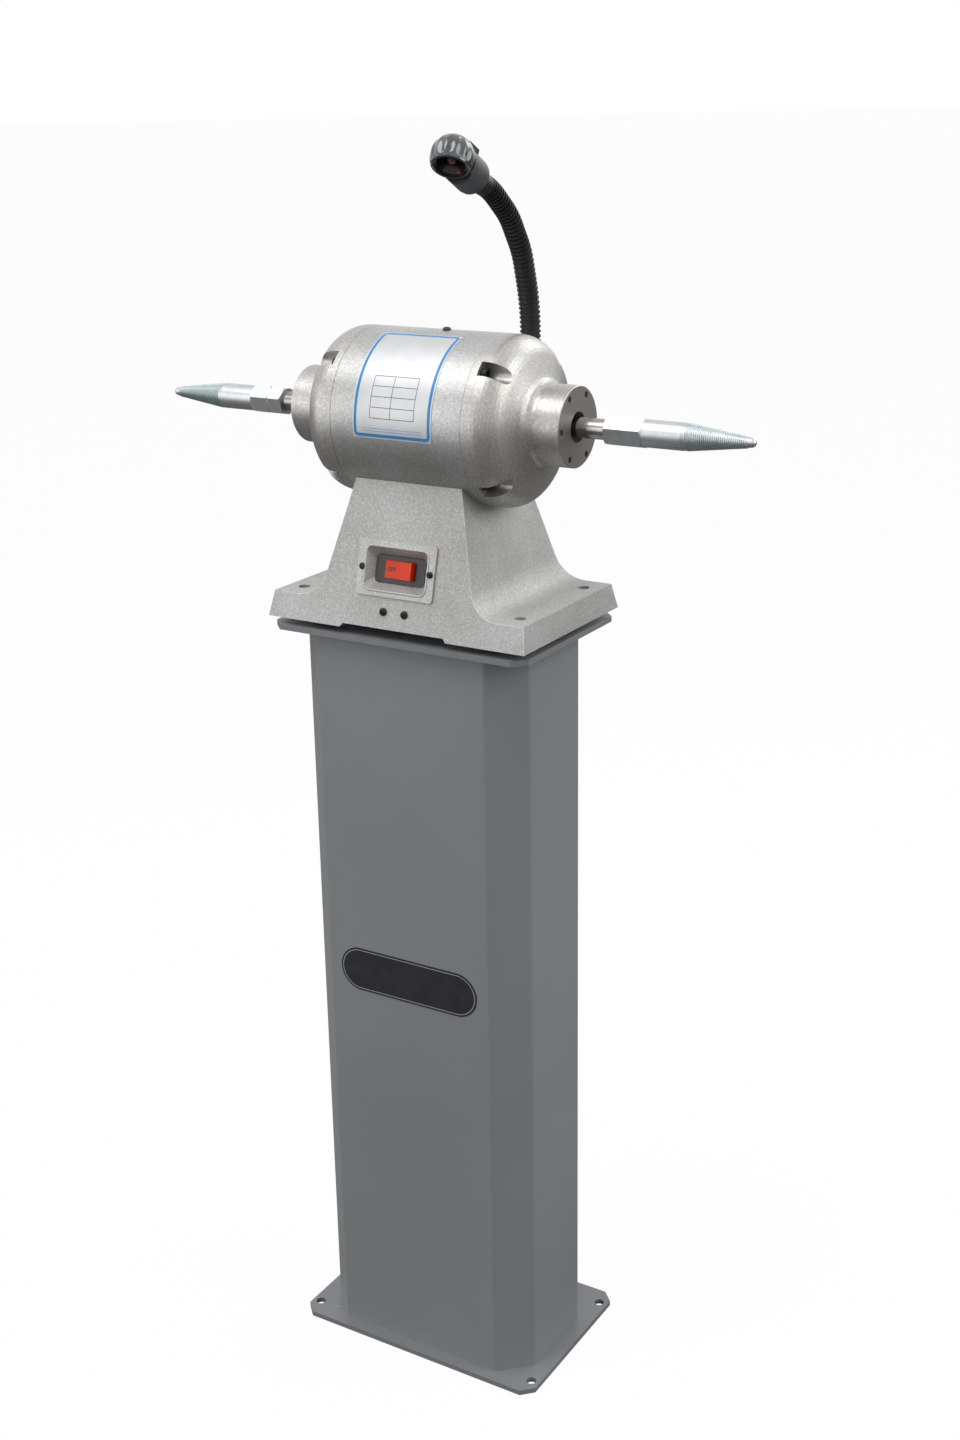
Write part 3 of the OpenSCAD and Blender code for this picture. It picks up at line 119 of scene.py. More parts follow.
# Hammer enamel: silver paint full of aluminium flake, which draws into a pebbled skin as it dries.
# It gives a soft metallic sheen, bright pebbles and small dark pits between them.
def hammerEnamel(name, look):
    mat, place = newMaterial(name)
    pebbles = addNode(mat, "TexNoise", {
        "Vector": place, "Scale": metre / look["pebble"], "Detail": 3.0, "Roughness": 0.62, "Distortion": 0.3,
    })
    pits = addNode(mat, "TexVoronoi", {"Vector": place, "Scale": metre / look["pitSpacing"]})
    pits = addNode(mat, "ValToRGB", {"Fac": pits}, stops=((0.06, 1.0), (look["pitReach"], 0.0)))
    field = addNode(mat, "TexNoise", {"Vector": place, "Scale": metre / look["pitField"], "Detail": 2.0})
    field = addNode(mat, "ValToRGB", {"Fac": field}, stops=((0.38, 0.15), (0.62, 1.0)))
    pits = addNode(mat, "Math", {0: pits, 1: field}, operation="MULTIPLY")
    skin = addNode(mat, "ValToRGB", {"Fac": pebbles}, stops=look["skin"])
    tone = addNode(mat, "TexNoise", {"Vector": place, "Scale": metre / look["toneField"], "Detail": 2.0})
    tone = addNode(mat, "ValToRGB", {"Fac": tone}, stops=((0.3, "#e9e7e4"), (0.7, "#ffffff")))
    base = addNode(mat, "Mix", {0: 1.0, 6: skin, 7: tone}, 2, data_type="RGBA", blend_type="MULTIPLY")
    base = addNode(mat, "Mix", {0: pits, 6: base, 7: look["pitColour"]}, 2, data_type="RGBA")
    height = addNode(mat, "Math", {0: pits, 1: -look["pitDip"], 2: pebbles}, operation="MULTIPLY_ADD")
    normal = addNode(mat, "Bump", {"Height": height, "Distance": look["depth"] * mm, "Strength": 1.0})
    gloss = addNode(mat, "MapRange", {
        "Value": pebbles, "To Min": look["rough"], "To Max": look["rough"] - look["glossRange"],
    })
    metal = look["metal"]
    if "bareFrom" in look:  # the outer face of each neck is turned and left bare
        reach = addNode(mat, "SeparateXYZ", {"Vector": place}, out="X")
        reach = addNode(mat, "Math", {0: reach}, operation="ABSOLUTE")
        bare = addNode(mat, "Math", {0: reach, 1: look["bareFrom"] * mm}, operation="GREATER_THAN")
        toAxis = (0, -shaftAxis[0] * mm, -shaftAxis[1] * mm)
        rings = addNode(mat, "Mapping", {"Vector": place, "Location": toAxis, "Scale": (0, 1, 1)})
        rings = addNode(mat, "VectorMath", {0: rings}, "Value", operation="LENGTH")
        perMark = 2 * math.pi / (look["toolMark"] * mm)
        rings = addNode(mat, "Math", {0: rings, 1: perMark}, operation="MULTIPLY")
        rings = addNode(mat, "Math", {0: rings}, operation="SINE")
        rings = addNode(mat, "Math", {0: rings, 1: bare}, operation="MULTIPLY")
        normal = addNode(mat, "Bump", {
            "Height": rings, "Distance": look["toolDepth"] * mm, "Strength": 0.6, "Normal": normal,
        })
        base = addNode(mat, "Mix", {0: bare, 6: base, 7: look["bareColour"]}, 2, data_type="RGBA")
        metal = addNode(mat, "MapRange", {"Value": bare, "To Min": metal, "To Max": look["bareMetal"]})
    return finishMaterial(mat, {"Base Color": base, "Metallic": metal, "Roughness": gloss, "Normal": normal})


shellLook = {
    "pebble": 2.2, "pitSpacing": 3.6, "pitReach": 0.13, "pitField": 16.0, "pitDip": 0.9, "toneField": 90.0,
    "depth": 0.035, "rough": 0.46, "glossRange": 0.14, "metal": 0.8,
    "skin": ((0.34, "#a9aaaa"), (0.52, "#b8b9b9"), (0.68, "#c9cacb")), "pitColour": "#828383",
}
bellLook = dict(
    shellLook, pebble=2.4, pitSpacing=2.8, pitReach=0.16, depth=0.05,
    skin=((0.34, "#aba9a7"), (0.52, "#bab8b6"), (0.68, "#cac8c6")),
    bareFrom=156.6, bareColour="#a5a09c", bareMetal=0.85, toolMark=1.6, toolDepth=0.01,
)
castLook = dict(
    shellLook, pebble=2.0, pitSpacing=2.6, pitReach=0.24, depth=0.2, rough=0.58, metal=0.3,
    skin=((0.32, "#abacab"), (0.50, "#b8b9b8"), (0.68, "#cdcecd")), pitColour="#7f8080",
)
plateLook = dict(castLook, pitSpacing=3.2, pitReach=0.12, depth=0.05, rough=0.44)
# The ground edges of the casting, where the paint is worn thin; their near white colour is a painted
# highlight where they catch the light
edgeHighlightLook = dict(
    castLook, pitReach=0.1, rough=0.42, metal=0.5,
    skin=((0.32, "#e2e2e1"), (0.50, "#efefee"), (0.68, "#fafafa")),
)
shellEnamel = hammerEnamel("hammerEnamelRolledShell", shellLook)
bellEnamel = hammerEnamel("hammerEnamelCastBell", bellLook)
castEnamel = hammerEnamel("hammerEnamelSandCasting", castLook)
edgeHighlightEnamel = hammerEnamel("hammerEnamelEdgePaintedHighlight", edgeHighlightLook)
plateEnamel = hammerEnamel("hammerEnamelPressedPlate", plateLook)
dress(shellEnamel, "motor_shell")
dress(bellEnamel, "left_end_bell", "right_end_bell")
dress(castEnamel, "machine_base")
dress(plateEnamel, "switch_plate")
print("castings painted")

satin = {
    "cloud": 220.0, "peel": 2.2, "peelDepth": 0.012,
    "scuff": 14.0, "scuffTop": 500.0, "scuffFade": 0.15, "scuffColour": "#b9bbbc",
}


# Satin grey enamel sprayed on folded steel sheet: an even colour, fine orange peel,
# and near the floor a few scuffs where it was knocked
def greyEnamel(name, dark, pale, scuffs):
    mat, place = newMaterial(name)
    cloud = addNode(mat, "TexNoise", {"Vector": place, "Scale": metre / satin["cloud"], "Detail": 2.0})
    base = addNode(mat, "ValToRGB", {"Fac": cloud}, stops=((0.3, dark), (0.7, pale)))
    peel = addNode(mat, "TexNoise", {"Vector": place, "Scale": metre / satin["peel"], "Detail": 1.0})
    chips = addNode(mat, "TexNoise", {
        "Vector": place, "Scale": metre / satin["scuff"], "Detail": 5.0, "Roughness": 0.72,
    })
    chips = addNode(mat, "ValToRGB", {"Fac": chips}, stops=((0.70, 0.0), (0.72, 1.0)))
    height = addNode(mat, "SeparateXYZ", {"Vector": place}, out="Z")
    low = addNode(mat, "MapRange", {
        "Value": height, "From Max": satin["scuffTop"] * mm,
        "To Min": scuffs, "To Max": scuffs * satin["scuffFade"],
    })
    chips = addNode(mat, "Math", {0: chips, 1: low}, operation="MULTIPLY")
    base = addNode(mat, "Mix", {0: chips, 6: base, 7: satin["scuffColour"]}, 2, data_type="RGBA")
    gloss = addNode(mat, "MapRange", {"Value": peel, "To Min": 0.34, "To Max": 0.44})
    normal = addNode(mat, "Bump", {"Height": peel, "Distance": satin["peelDepth"] * mm, "Strength": 0.7})
    return finishMaterial(mat, {
        "Base Color": base, "Roughness": gloss, "Normal": normal, "Coat Weight": 0.2, "Coat Roughness": 0.25,
    })


sheetEnamel = greyEnamel("satinEnamelFoldedSheet", "#888a8c", "#8e9092", 0.5)
platePaint = greyEnamel("satinEnamelSteelPlate", "#7e8184", "#85888b", 0.8)
dress(sheetEnamel, "pedestal_column")
dress(platePaint, "pedestal_base_plate", "pedestal_top_plate")

roundShaft = (1.0, 0.05, 0.05)  # draws the lines out round the shaft
steelStain = 9.0  # width of a faint stain


# Turned, drawn or plated steel: fine lines that run round the shaft, with their spacing in millimetres.
# They are near the size of a pixel, so their bump is faint.
def turnedSteel(name, look):
    mat, place = newMaterial(name)
    stretched = addNode(mat, "Mapping", {"Vector": place, "Scale": look.get("along", roundShaft)})
    lines = addNode(mat, "TexNoise", {"Vector": stretched, "Scale": metre / look["line"], "Detail": 2.0})
    stain = addNode(mat, "TexNoise", {"Vector": place, "Scale": metre / steelStain, "Detail": 3.0})
    base = addNode(mat, "ValToRGB", {"Fac": stain}, stops=look["colours"])
    rough = look["rough"]
    gloss = addNode(mat, "MapRange", {"Value": lines, "To Min": rough, "To Max": rough + 0.06})
    normal = addNode(mat, "Bump", {"Height": lines, "Distance": look["depth"] * mm, "Strength": 0.08})
    return finishMaterial(mat, {"Base Color": base, "Metallic": 1.0, "Roughness": gloss, "Normal": normal})


groundSteel = turnedSteel("groundShaftSteel", {
    "line": 0.6, "depth": 0.004, "rough": 0.16, "colours": ((0.3, "#8f8b88"), (0.7, "#aaa6a2")),
})
brightZinc = turnedSteel("brightZincPlate", {
    "line": 2.0, "depth": 0.002, "rough": 0.36, "colours": ((0.3, "#babebf"), (0.7, "#c5c9c9")),
})
# Zinc passivated blue: a thin clear film that tints the plate green and blue
blueZinc = turnedSteel("bluePassivatedZinc", {
    "line": 2.0, "depth": 0.002, "rough": 0.4,
    "colours": ((0.3, "#bccacc"), (0.55, "#c8d4d5"), (0.75, "#d2dcd9")),
})
bearingSteel = turnedSteel("groundBearingSteel", {
    "line": 0.7, "depth": 0.002, "rough": 0.12, "colours": ((0.3, "#aeaeae"), (0.7, "#c2c2c2")),
})
castAluminium = turnedSteel("dieCastAluminium", {
    "line": 1.4, "depth": 0.03, "rough": 0.34, "along": (1, 1, 1),
    "colours": ((0.3, "#b4b6b9"), (0.7, "#c9cbcd")),
})
pressedBrass = turnedSteel("pressedBrass", {
    "line": 1.0, "depth": 0.004, "rough": 0.26, "colours": ((0.3, "#b48d45"), (0.7, "#c8a35a")),
})
dress(groundSteel, "shaft")
dress(brightZinc, "machine_bolts", "machine_bolt_washers", "saddle_bolts", "capacitor_clip", "lamp_bracket")
dress(brightZinc, "lamp_bracket_screws", "neck_nut", "base_cover_screws", "left_spindle", "right_spindle")
dress(bearingSteel, "bearing_spring_washer")
for end in ("left", "right"):
    dress(bearingSteel, *(end + "_bearing_" + name for name in ("outer_race", "inner_race", "balls")))
    dress(pressedBrass, end + "_bearing_cage")
dress(castAluminium, "rotor_end_rings", "base_cover_plate")

dust = {"patch": 14.0, "dulls": 0.12}


# Moulded plastic or rubber: a fine spark-eroded grain and a little dust in patches
def moulded(name, look):
    mat, place = newMaterial(name)
    grain = addNode(mat, "TexNoise", {"Vector": place, "Scale": metre / look["grain"], "Detail": 2.0})
    dusty = addNode(mat, "TexNoise", {"Vector": place, "Scale": metre / dust["patch"], "Detail": 4.0})
    base = addNode(mat, "ValToRGB", {"Fac": dusty}, stops=look["colours"])
    gloss = addNode(mat, "MapRange", {
        "Value": dusty, "To Min": look["rough"], "To Max": look["rough"] + dust["dulls"],
    })
    normal = addNode(mat, "Bump", {"Height": grain, "Distance": look["depth"] * mm, "Strength": 0.6})
    shader = {"Base Color": base, "Roughness": gloss, "Normal": normal}
    shader.update(look.get("extra", {}))
    return finishMaterial(mat, shader)


dress(moulded("extrudedPolyamideHose", {
    "grain": 1.6, "depth": 0.02, "rough": 0.34, "colours": ((0.3, "#141314"), (0.7, "#1d1c1d")),
}), "neck_base", *("neck_link_%d" % k for k in range(1, 7)))
blackNylon = moulded("mouldedBlackNylon", {
    "grain": 0.9, "depth": 0.02, "rough": 0.38, "colours": ((0.3, "#1d1c1c"), (0.7, "#2a2928")),
})
dress(blackNylon, "cable_gland", "gland_cap", "top_plug", "lamp_rocker")
dress(moulded("mouldedSwitchBezel", {
    "grain": 0.9, "depth": 0.015, "rough": 0.3, "colours": ((0.3, "#211e1d"), (0.7, "#2c2927")),
}), "main_switch_body")
dress(moulded("nitrileRubber", {
    "grain": 1.6, "depth": 0.05, "rough": 0.62, "colours": ((0.3, "#161616"), (0.7, "#202020")),
}), "rubber_pads")
dress(moulded("greyAbs", {
    "grain": 0.8, "depth": 0.015, "rough": 0.36, "colours": ((0.3, "#434446"), (0.7, "#505254")),
}), "lamp_body")
# Metallised polycarbonate: smoky grey, half mirror
smokedHood = moulded("metallisedPolycarbonate", {
    "grain": 2.0, "depth": 0.004, "rough": 0.14, "colours": ((0.3, "#484b4d"), (0.7, "#616466")),
    "extra": {"Metallic": 0.75, "Coat Weight": 0.6, "Coat Roughness": 0.05},
})
dress(smokedHood, "lamp_hood", "lamp_rim")
# Clear red polycarbonate rocker, lit from outside only: strong orange red and a smooth gloss
dress(moulded("redPolycarbonate", {
    "grain": 2.0, "depth": 0.004, "rough": 0.3, "colours": ((0.3, "#df3409"), (0.7, "#e63f10")),
    "extra": {"Specular IOR Level": 0.3},
}), "main_switch_rocker")
dress(moulded("ivoryUreaResin", {
    "grain": 1.0, "depth": 0.01, "rough": 0.36, "colours": ((0.3, "#ddd8ca"), (0.7, "#e7e3d8")),
}), "terminal_block")
dress(moulded("whiteCapacitorCan", {
    "grain": 1.5, "depth": 0.01, "rough": 0.32, "colours": ((0.3, "#dfdfdc"), (0.7, "#ecebe8")),
}), "run_capacitor")

badge = {
    "inset": 2.4, "line": 0.9, "lineColour": "#a2a4a6", "cloud": 14.0,
    "vinyl": ((0.3, "#232427"), (0.7, "#2b2c30")),
}


# Printed vinyl badge, left plain: dull black, a thin pale line inside its edge and a faint sheen
def printedBadge():
    mat, place = newMaterial("printedBlackVinyl")
    low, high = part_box("column_badge")
    middle, size = (low + high) / 2, high - low
    straight = ((size.x - size.z) / 2, 0, 0)  # half of the run between the two round ends
    toMiddle = (-middle.x, 0, -middle.z)
    away = addNode(mat, "Mapping", {"Vector": place, "Location": toMiddle, "Scale": (1, 0, 1)})
    away = addNode(mat, "VectorMath", {0: away}, operation="ABSOLUTE")
    away = addNode(mat, "VectorMath", {0: away, 1: straight}, operation="SUBTRACT")
    away = addNode(mat, "VectorMath", {0: away, 1: (0, 0, 0)}, operation="MAXIMUM")
    away = addNode(mat, "VectorMath", {0: away}, "Value", operation="LENGTH")
    lineAt, halfLine = size.z / 2 - badge["inset"] * mm, badge["line"] / 2 * mm
    line = addNode(mat, "Math", {0: away, 1: lineAt, 2: halfLine}, operation="COMPARE")
    cloud = addNode(mat, "TexNoise", {"Vector": place, "Scale": metre / badge["cloud"], "Detail": 4.0})
    base = addNode(mat, "ValToRGB", {"Fac": cloud}, stops=badge["vinyl"])
    base = addNode(mat, "Mix", {0: line, 6: base, 7: badge["lineColour"]}, 2, data_type="RGBA")
    gloss = addNode(mat, "MapRange", {"Value": cloud, "To Min": 0.3, "To Max": 0.42})
    return finishMaterial(mat, {"Base Color": base, "Roughness": gloss})


dress(printedBadge(), "column_badge")

oxide = {"rub": 1.8, "depth": 0.02, "skin": ((0.48, "#242322"), (0.75, "#5d5956"))}


# Black oxide on screws: a thin dark skin, rubbed grey on the high spots
def blackOxide():
    mat, place = newMaterial("blackOxideSteel")
    rub = addNode(mat, "TexNoise", {"Vector": place, "Scale": metre / oxide["rub"], "Detail": 4.0})
    base = addNode(mat, "ValToRGB", {"Fac": rub}, stops=oxide["skin"])
    gloss = addNode(mat, "MapRange", {"Value": rub, "To Min": 0.36, "To Max": 0.52})
    normal = addNode(mat, "Bump", {"Height": rub, "Distance": oxide["depth"] * mm, "Strength": 0.5})
    return finishMaterial(mat, {"Base Color": base, "Metallic": 0.7, "Roughness": gloss, "Normal": normal})


dress(blackOxide(), "left_bell_screws", "right_bell_screws", "switch_plate_screws", "terminal_screws")

waveBands = 20 / (2 * math.pi)  # bands that a wave texture draws in one unit at a scale of 1
stack = {"pitch": 2.37, "depth": 0.05, "edges": ((0.3, "#3c3d40"), (0.8, "#66686d"))}
wire = {"pitch": 2.735, "depth": 0.3, "copper": ((0.1, "#6a3112"), (0.8, "#b9622e"))}


# Varnished electrical sheet, punched and stacked: half a millimetre each, drawn wider so that it shows
def sheetStack():
    mat, place = newMaterial("varnishedSheetStack")
    scale = metre / (stack["pitch"] * waveBands)
    edges = addNode(mat, "TexWave", {"Vector": place, "Scale": scale, "Distortion": 0.4}, "Fac")
    base = addNode(mat, "ValToRGB", {"Fac": edges}, stops=stack["edges"])
    normal = addNode(mat, "Bump", {"Height": edges, "Distance": stack["depth"] * mm, "Strength": 0.6})
    return finishMaterial(mat, {"Base Color": base, "Metallic": 0.8, "Roughness": 0.42, "Normal": normal})


# Enamelled copper wire laid side by side under clear varnish, drawn thicker so that it shows
def copperWinding():
    mat, place = newMaterial("enamelledCopperWinding")
    scale = metre / (wire["pitch"] * waveBands * math.sqrt(3) / 2)  # diagonal bands lie wider apart
    wires = addNode(mat, "TexWave", {
        "Vector": place, "Scale": scale, "Distortion": 1.5, "Detail": 2.0,
    }, "Fac", bands_direction="DIAGONAL")
    base = addNode(mat, "ValToRGB", {"Fac": wires}, stops=wire["copper"])
    normal = addNode(mat, "Bump", {"Height": wires, "Distance": wire["depth"] * mm, "Strength": 0.8})
    return finishMaterial(mat, {
        "Base Color": base, "Metallic": 0.75, "Roughness": 0.3, "Normal": normal, "Coat Weight": 0.6,
    })


dress(sheetStack(), "stator_core", "rotor_core")
dress(copperWinding(), "stator_windings")
print("small parts finished")

nameplate = {
    "middle": -2.5, "radius": 84.9, "from": 15.0, "turn": 83.0, "width": 91.0,
    "margin": 1.4, "rule": 3.2, "corner": 5.0,
    "table": (-25.5, 25.5, 61.0, 103.0), "divider": -2.0, "rows": 4, "line": 0.7,
    "notes": (113.0, 115.6), "noteReach": 34.0, "noteLine": 0.7,
    "foil": ((0.3, "#c2c4c6"), (0.7, "#ced0d2")), "blue": "#2f86c6", "ink": "#5a5c5f", "noteInk": "#7fa9cf",
    "cloud": 30.0, "brushed": 0.5, "brushing": (0.03, 1.0, 1.0),
}


# Printed aluminium foil: a silver ground, a blue rule with round corners, and an empty ruled table
def printedFoil(look):
    mat, place = newMaterial("printedAluminiumFoil")
    fromAxis = addNode(mat, "Mapping", {  # in millimetres, and towards the front
        "Vector": place, "Scale": (metre, -metre, metre),
        "Location": (-look["middle"], shaftAxis[0], -shaftAxis[1]),
    })
    x, forward, upward = addNode(mat, "SeparateXYZ", {"Vector": fromAxis}).node.outputs
    angle = addNode(mat, "Math", {0: forward, 1: upward}, operation="ARCTAN2")  # from the top forwards
    start = -math.radians(look["from"]) * look["radius"]
    down = addNode(mat, "Math", {0: angle, 1: look["radius"], 2: start}, operation="MULTIPLY_ADD")
    tall = math.radians(look["turn"]) * look["radius"]

    # how far a point lies from the middles of the round corners, which the blue rule follows
    inner = [side / 2 - look["margin"] - look["corner"] for side in (look["width"], tall)]
    beyond = addNode(mat, "CombineXYZ", {"X": x, "Y": down})
    beyond = addNode(mat, "VectorMath", {0: beyond, 1: (0, tall / 2, 0)}, operation="SUBTRACT")
    beyond = addNode(mat, "VectorMath", {0: beyond}, operation="ABSOLUTE")
    beyond = addNode(mat, "VectorMath", {0: beyond, 1: (*inner, 0)}, operation="SUBTRACT")
    beyond = addNode(mat, "VectorMath", {0: beyond, 1: (0, 0, 0)}, operation="MAXIMUM")
    beyond = addNode(mat, "VectorMath", {0: beyond}, "Value", operation="LENGTH")
    halfRule = look["rule"] / 2
    blue = addNode(mat, "Math", {0: beyond, 1: look["corner"] - halfRule, 2: halfRule}, operation="COMPARE")

    left, right, top, bottom = look["table"]
    halfX, halfY = ((high - low + look["line"]) / 2 for low, high in ((left, right), (top, bottom)))
    inX = addNode(mat, "Math", {0: x, 1: (left + right) / 2, 2: halfX}, operation="COMPARE")
    inY = addNode(mat, "Math", {0: down, 1: (top + bottom) / 2, 2: halfY}, operation="COMPARE")
    inNotes = addNode(mat, "Math", {0: x, 1: 0.0, 2: look["noteReach"]}, operation="COMPARE")
    rows = (top + (bottom - top) * row / look["rows"] for row in range(look["rows"] + 1))
    strokes = [("table", x, spot, look["line"], inY) for spot in (left, look["divider"], right)]
    strokes += [("table", down, spot, look["line"], inX) for spot in rows]
    strokes += [("notes", down, spot, look["noteLine"], inNotes) for spot in look["notes"]]
    drawn = {"table": 0.0, "notes": 0.0}
    for kind, over, spot, thick, within in strokes:
        stroke = addNode(mat, "Math", {0: over, 1: spot, 2: thick / 2}, operation="COMPARE")
        stroke = addNode(mat, "Math", {0: stroke, 1: within}, operation="MULTIPLY")
        drawn[kind] = addNode(mat, "Math", {0: drawn[kind], 1: stroke}, operation="MAXIMUM")

    cloud = addNode(mat, "TexNoise", {"Vector": place, "Scale": metre / look["cloud"], "Detail": 2.0})
    base = addNode(mat, "ValToRGB", {"Fac": cloud}, stops=look["foil"])
    base = addNode(mat, "Mix", {0: blue, 6: base, 7: look["blue"]}, 2, data_type="RGBA")
    base = addNode(mat, "Mix", {0: drawn["table"], 6: base, 7: look["ink"]}, 2, data_type="RGBA")
    base = addNode(mat, "Mix", {0: drawn["notes"], 6: base, 7: look["noteInk"]}, 2, data_type="RGBA")
    ink = addNode(mat, "Math", {0: blue, 1: drawn["table"]}, operation="MAXIMUM")
    metal = addNode(mat, "MapRange", {"Value": ink, "To Min": 0.5, "To Max": 0.05})
    brushed = addNode(mat, "Mapping", {"Vector": place, "Scale": look["brushing"]})
    brushed = addNode(mat, "TexNoise", {"Vector": brushed, "Scale": metre / look["brushed"], "Detail": 1.0})
    gloss = addNode(mat, "MapRange", {"Value": brushed, "To Min": 0.34, "To Max": 0.46})
    return finishMaterial(mat, {"Base Color": base, "Metallic": metal, "Roughness": gloss})


dress(printedFoil(nameplate), "nameplate")

# the bowl's dark red colours are painted shade and a painted red reflection of the bulb
bowl = {"smear": 6.0, "lacquerShadeAndRedReflection": ((0.3, "#211a1a"), (0.7, "#3f2a28"))}
bulb = {"swirl": 4.0, "depth": 0.05, "glass": ((0.3, "#8a5a52"), (0.7, "#a9756a"))}


# Lacquered steel bowl: very dark, a painted shade inside the lamp's mouth, with a painted red reflection of
# the lamp glass
def lacqueredBowlPaintedShade():
    mat, place = newMaterial("lacqueredSteelBowlPaintedShade")
    smear = addNode(mat, "TexNoise", {"Vector": place, "Scale": metre / bowl["smear"], "Detail": 3.0})
    base = addNode(mat, "ValToRGB", {"Fac": smear}, stops=bowl["lacquerShadeAndRedReflection"])
    gloss = addNode(mat, "MapRange", {"Value": smear, "To Min": 0.16, "To Max": 0.3})
    return finishMaterial(mat, {"Base Color": base, "Metallic": 0.5, "Roughness": gloss})


# Tinted glass bulb: dull red, with slow waves from blowing
def tintedGlass():
    mat, place = newMaterial("tintedBulbGlass")
    swirl = addNode(mat, "TexNoise", {"Vector": place, "Scale": metre / bulb["swirl"], "Detail": 2.0})
    base = addNode(mat, "ValToRGB", {"Fac": swirl}, stops=bulb["glass"])
    normal = addNode(mat, "Bump", {"Height": swirl, "Distance": bulb["depth"] * mm, "Strength": 0.4})
    return finishMaterial(mat, {
        "Base Color": base, "Roughness": 0.06, "Transmission Weight": 0.5, "Normal": normal,
    })


dress(lacqueredBowlPaintedShade(), "lamp_reflector")
dress(tintedGlass(), "lamp_bulb")
print("materials ready")


def deselectAll():
    if bpy.context.object and bpy.context.object.mode == "EDIT":
        bpy.ops.object.mode_set(mode="OBJECT")
    bpy.ops.object.select_all(action="DESELECT")


# Leaves one piece selected and active, as the operators want it
def pick(piece):
    deselectAll()
    piece.select_set(True)
    bpy.context.view_layer.objects.active = piece


# Turns or moves a piece into its place in the machine and leaves its object at the origin
def settle(piece, matrix):
    piece.data.transform(matrix)
    piece.matrix_world = Matrix.Identity(4)
    piece.data.update()


# Smooth shading up to an angle, in which large flat faces stay flat
def smooth(piece, degrees):
    pick(piece)
    bpy.ops.object.shade_smooth_by_angle(angle=math.radians(degrees))
    weights = piece.modifiers.new("weights", "WEIGHTED_NORMAL")
    weights.keep_sharp = True
    bpy.ops.object.modifier_apply(modifier="weights")


thread = {
    "start": 273.5, "end": 332.5,  # from the middle of the machine
    "rootStart": 12.7, "rootEnd": 5.1,  # radius of the taper there
    "pitch": 2.0, "ridge": 0.85, "steps": 48, "weld": 0.001,
}


# The thread on a taper: one three-sided ridge wound in a helix round the cone
def windThread(side):
    deselectAll()
    bpy.ops.mesh.primitive_circle_add(
        vertices=3, radius=thread["ridge"] * mm, fill_type="NOTHING",
        location=(thread["rootStart"] * mm, 0, 0), rotation=(math.pi / 2, 0, 0),
    )
    piece = bpy.context.active_object
    piece.name = side + "TaperThread"
    bpy.ops.object.transform_apply(location=True, rotation=True, scale=True)
    winder = piece.modifiers.new("winder", "SCREW")
    winder.axis = "Z"
    winder.steps = winder.render_steps = thread["steps"]
    winder.screw_offset = thread["pitch"] * mm
    winder.iterations = round((thread["end"] - thread["start"]) / thread["pitch"])
    winder.use_merge_vertices = True
    bpy.ops.object.modifier_apply(modifier="winder")
    bpy.ops.object.mode_set(mode="EDIT")
    bpy.ops.mesh.select_all(action="SELECT")
    bpy.ops.mesh.remove_doubles(threshold=thread["weld"] * mm)
    bpy.ops.mesh.fill_holes(sides=3)
    bpy.ops.mesh.normals_make_consistent(inside=False)
    bpy.ops.object.mode_set(mode="OBJECT")
    length = (thread["end"] - thread["start"]) * mm
    drop = (thread["rootStart"] - thread["rootEnd"]) * mm
    for vertex in piece.data.vertices:  # draws the coil in to follow the cone
        radius = math.hypot(vertex.co.x, vertex.co.y)
        inward = min(max(vertex.co.z / length, 0.0), 1.0) * drop
        vertex.co.x *= (radius - inward) / radius
        vertex.co.y *= (radius - inward) / radius
    foot = Matrix.Translation(Vector((thread["start"], *shaftAxis)) * mm)
    settle(piece, foot @ Matrix.Rotation(math.pi / 2, 4, "Y"))
    if side == "left":
        settle(piece, Matrix.Scale(-1, 4, (1, 0, 0)))
        piece.data.flip_normals()
    piece.data.materials.append(blueZinc)
    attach(piece, "rotor")


for side in ("left", "right"):
    windThread(side)
print("threads wound")

hood = {
    "middle": (46.0, -38.7175, 1310.6598), "radius": 21.5, "clear": 0.05, "wall": 1.6, "rim": 8.9,
    "dip": 52.0, "yaw": 13.0,  # degrees that the mouth looks down and aside
    "flutes": 14, "facesPerFlute": 10, "rings": 48, "depth": 1.3,
    "from": 67.0, "full": 76.0, "to": 136.0, "fade": 0.7,  # degrees from the middle of the mouth
}


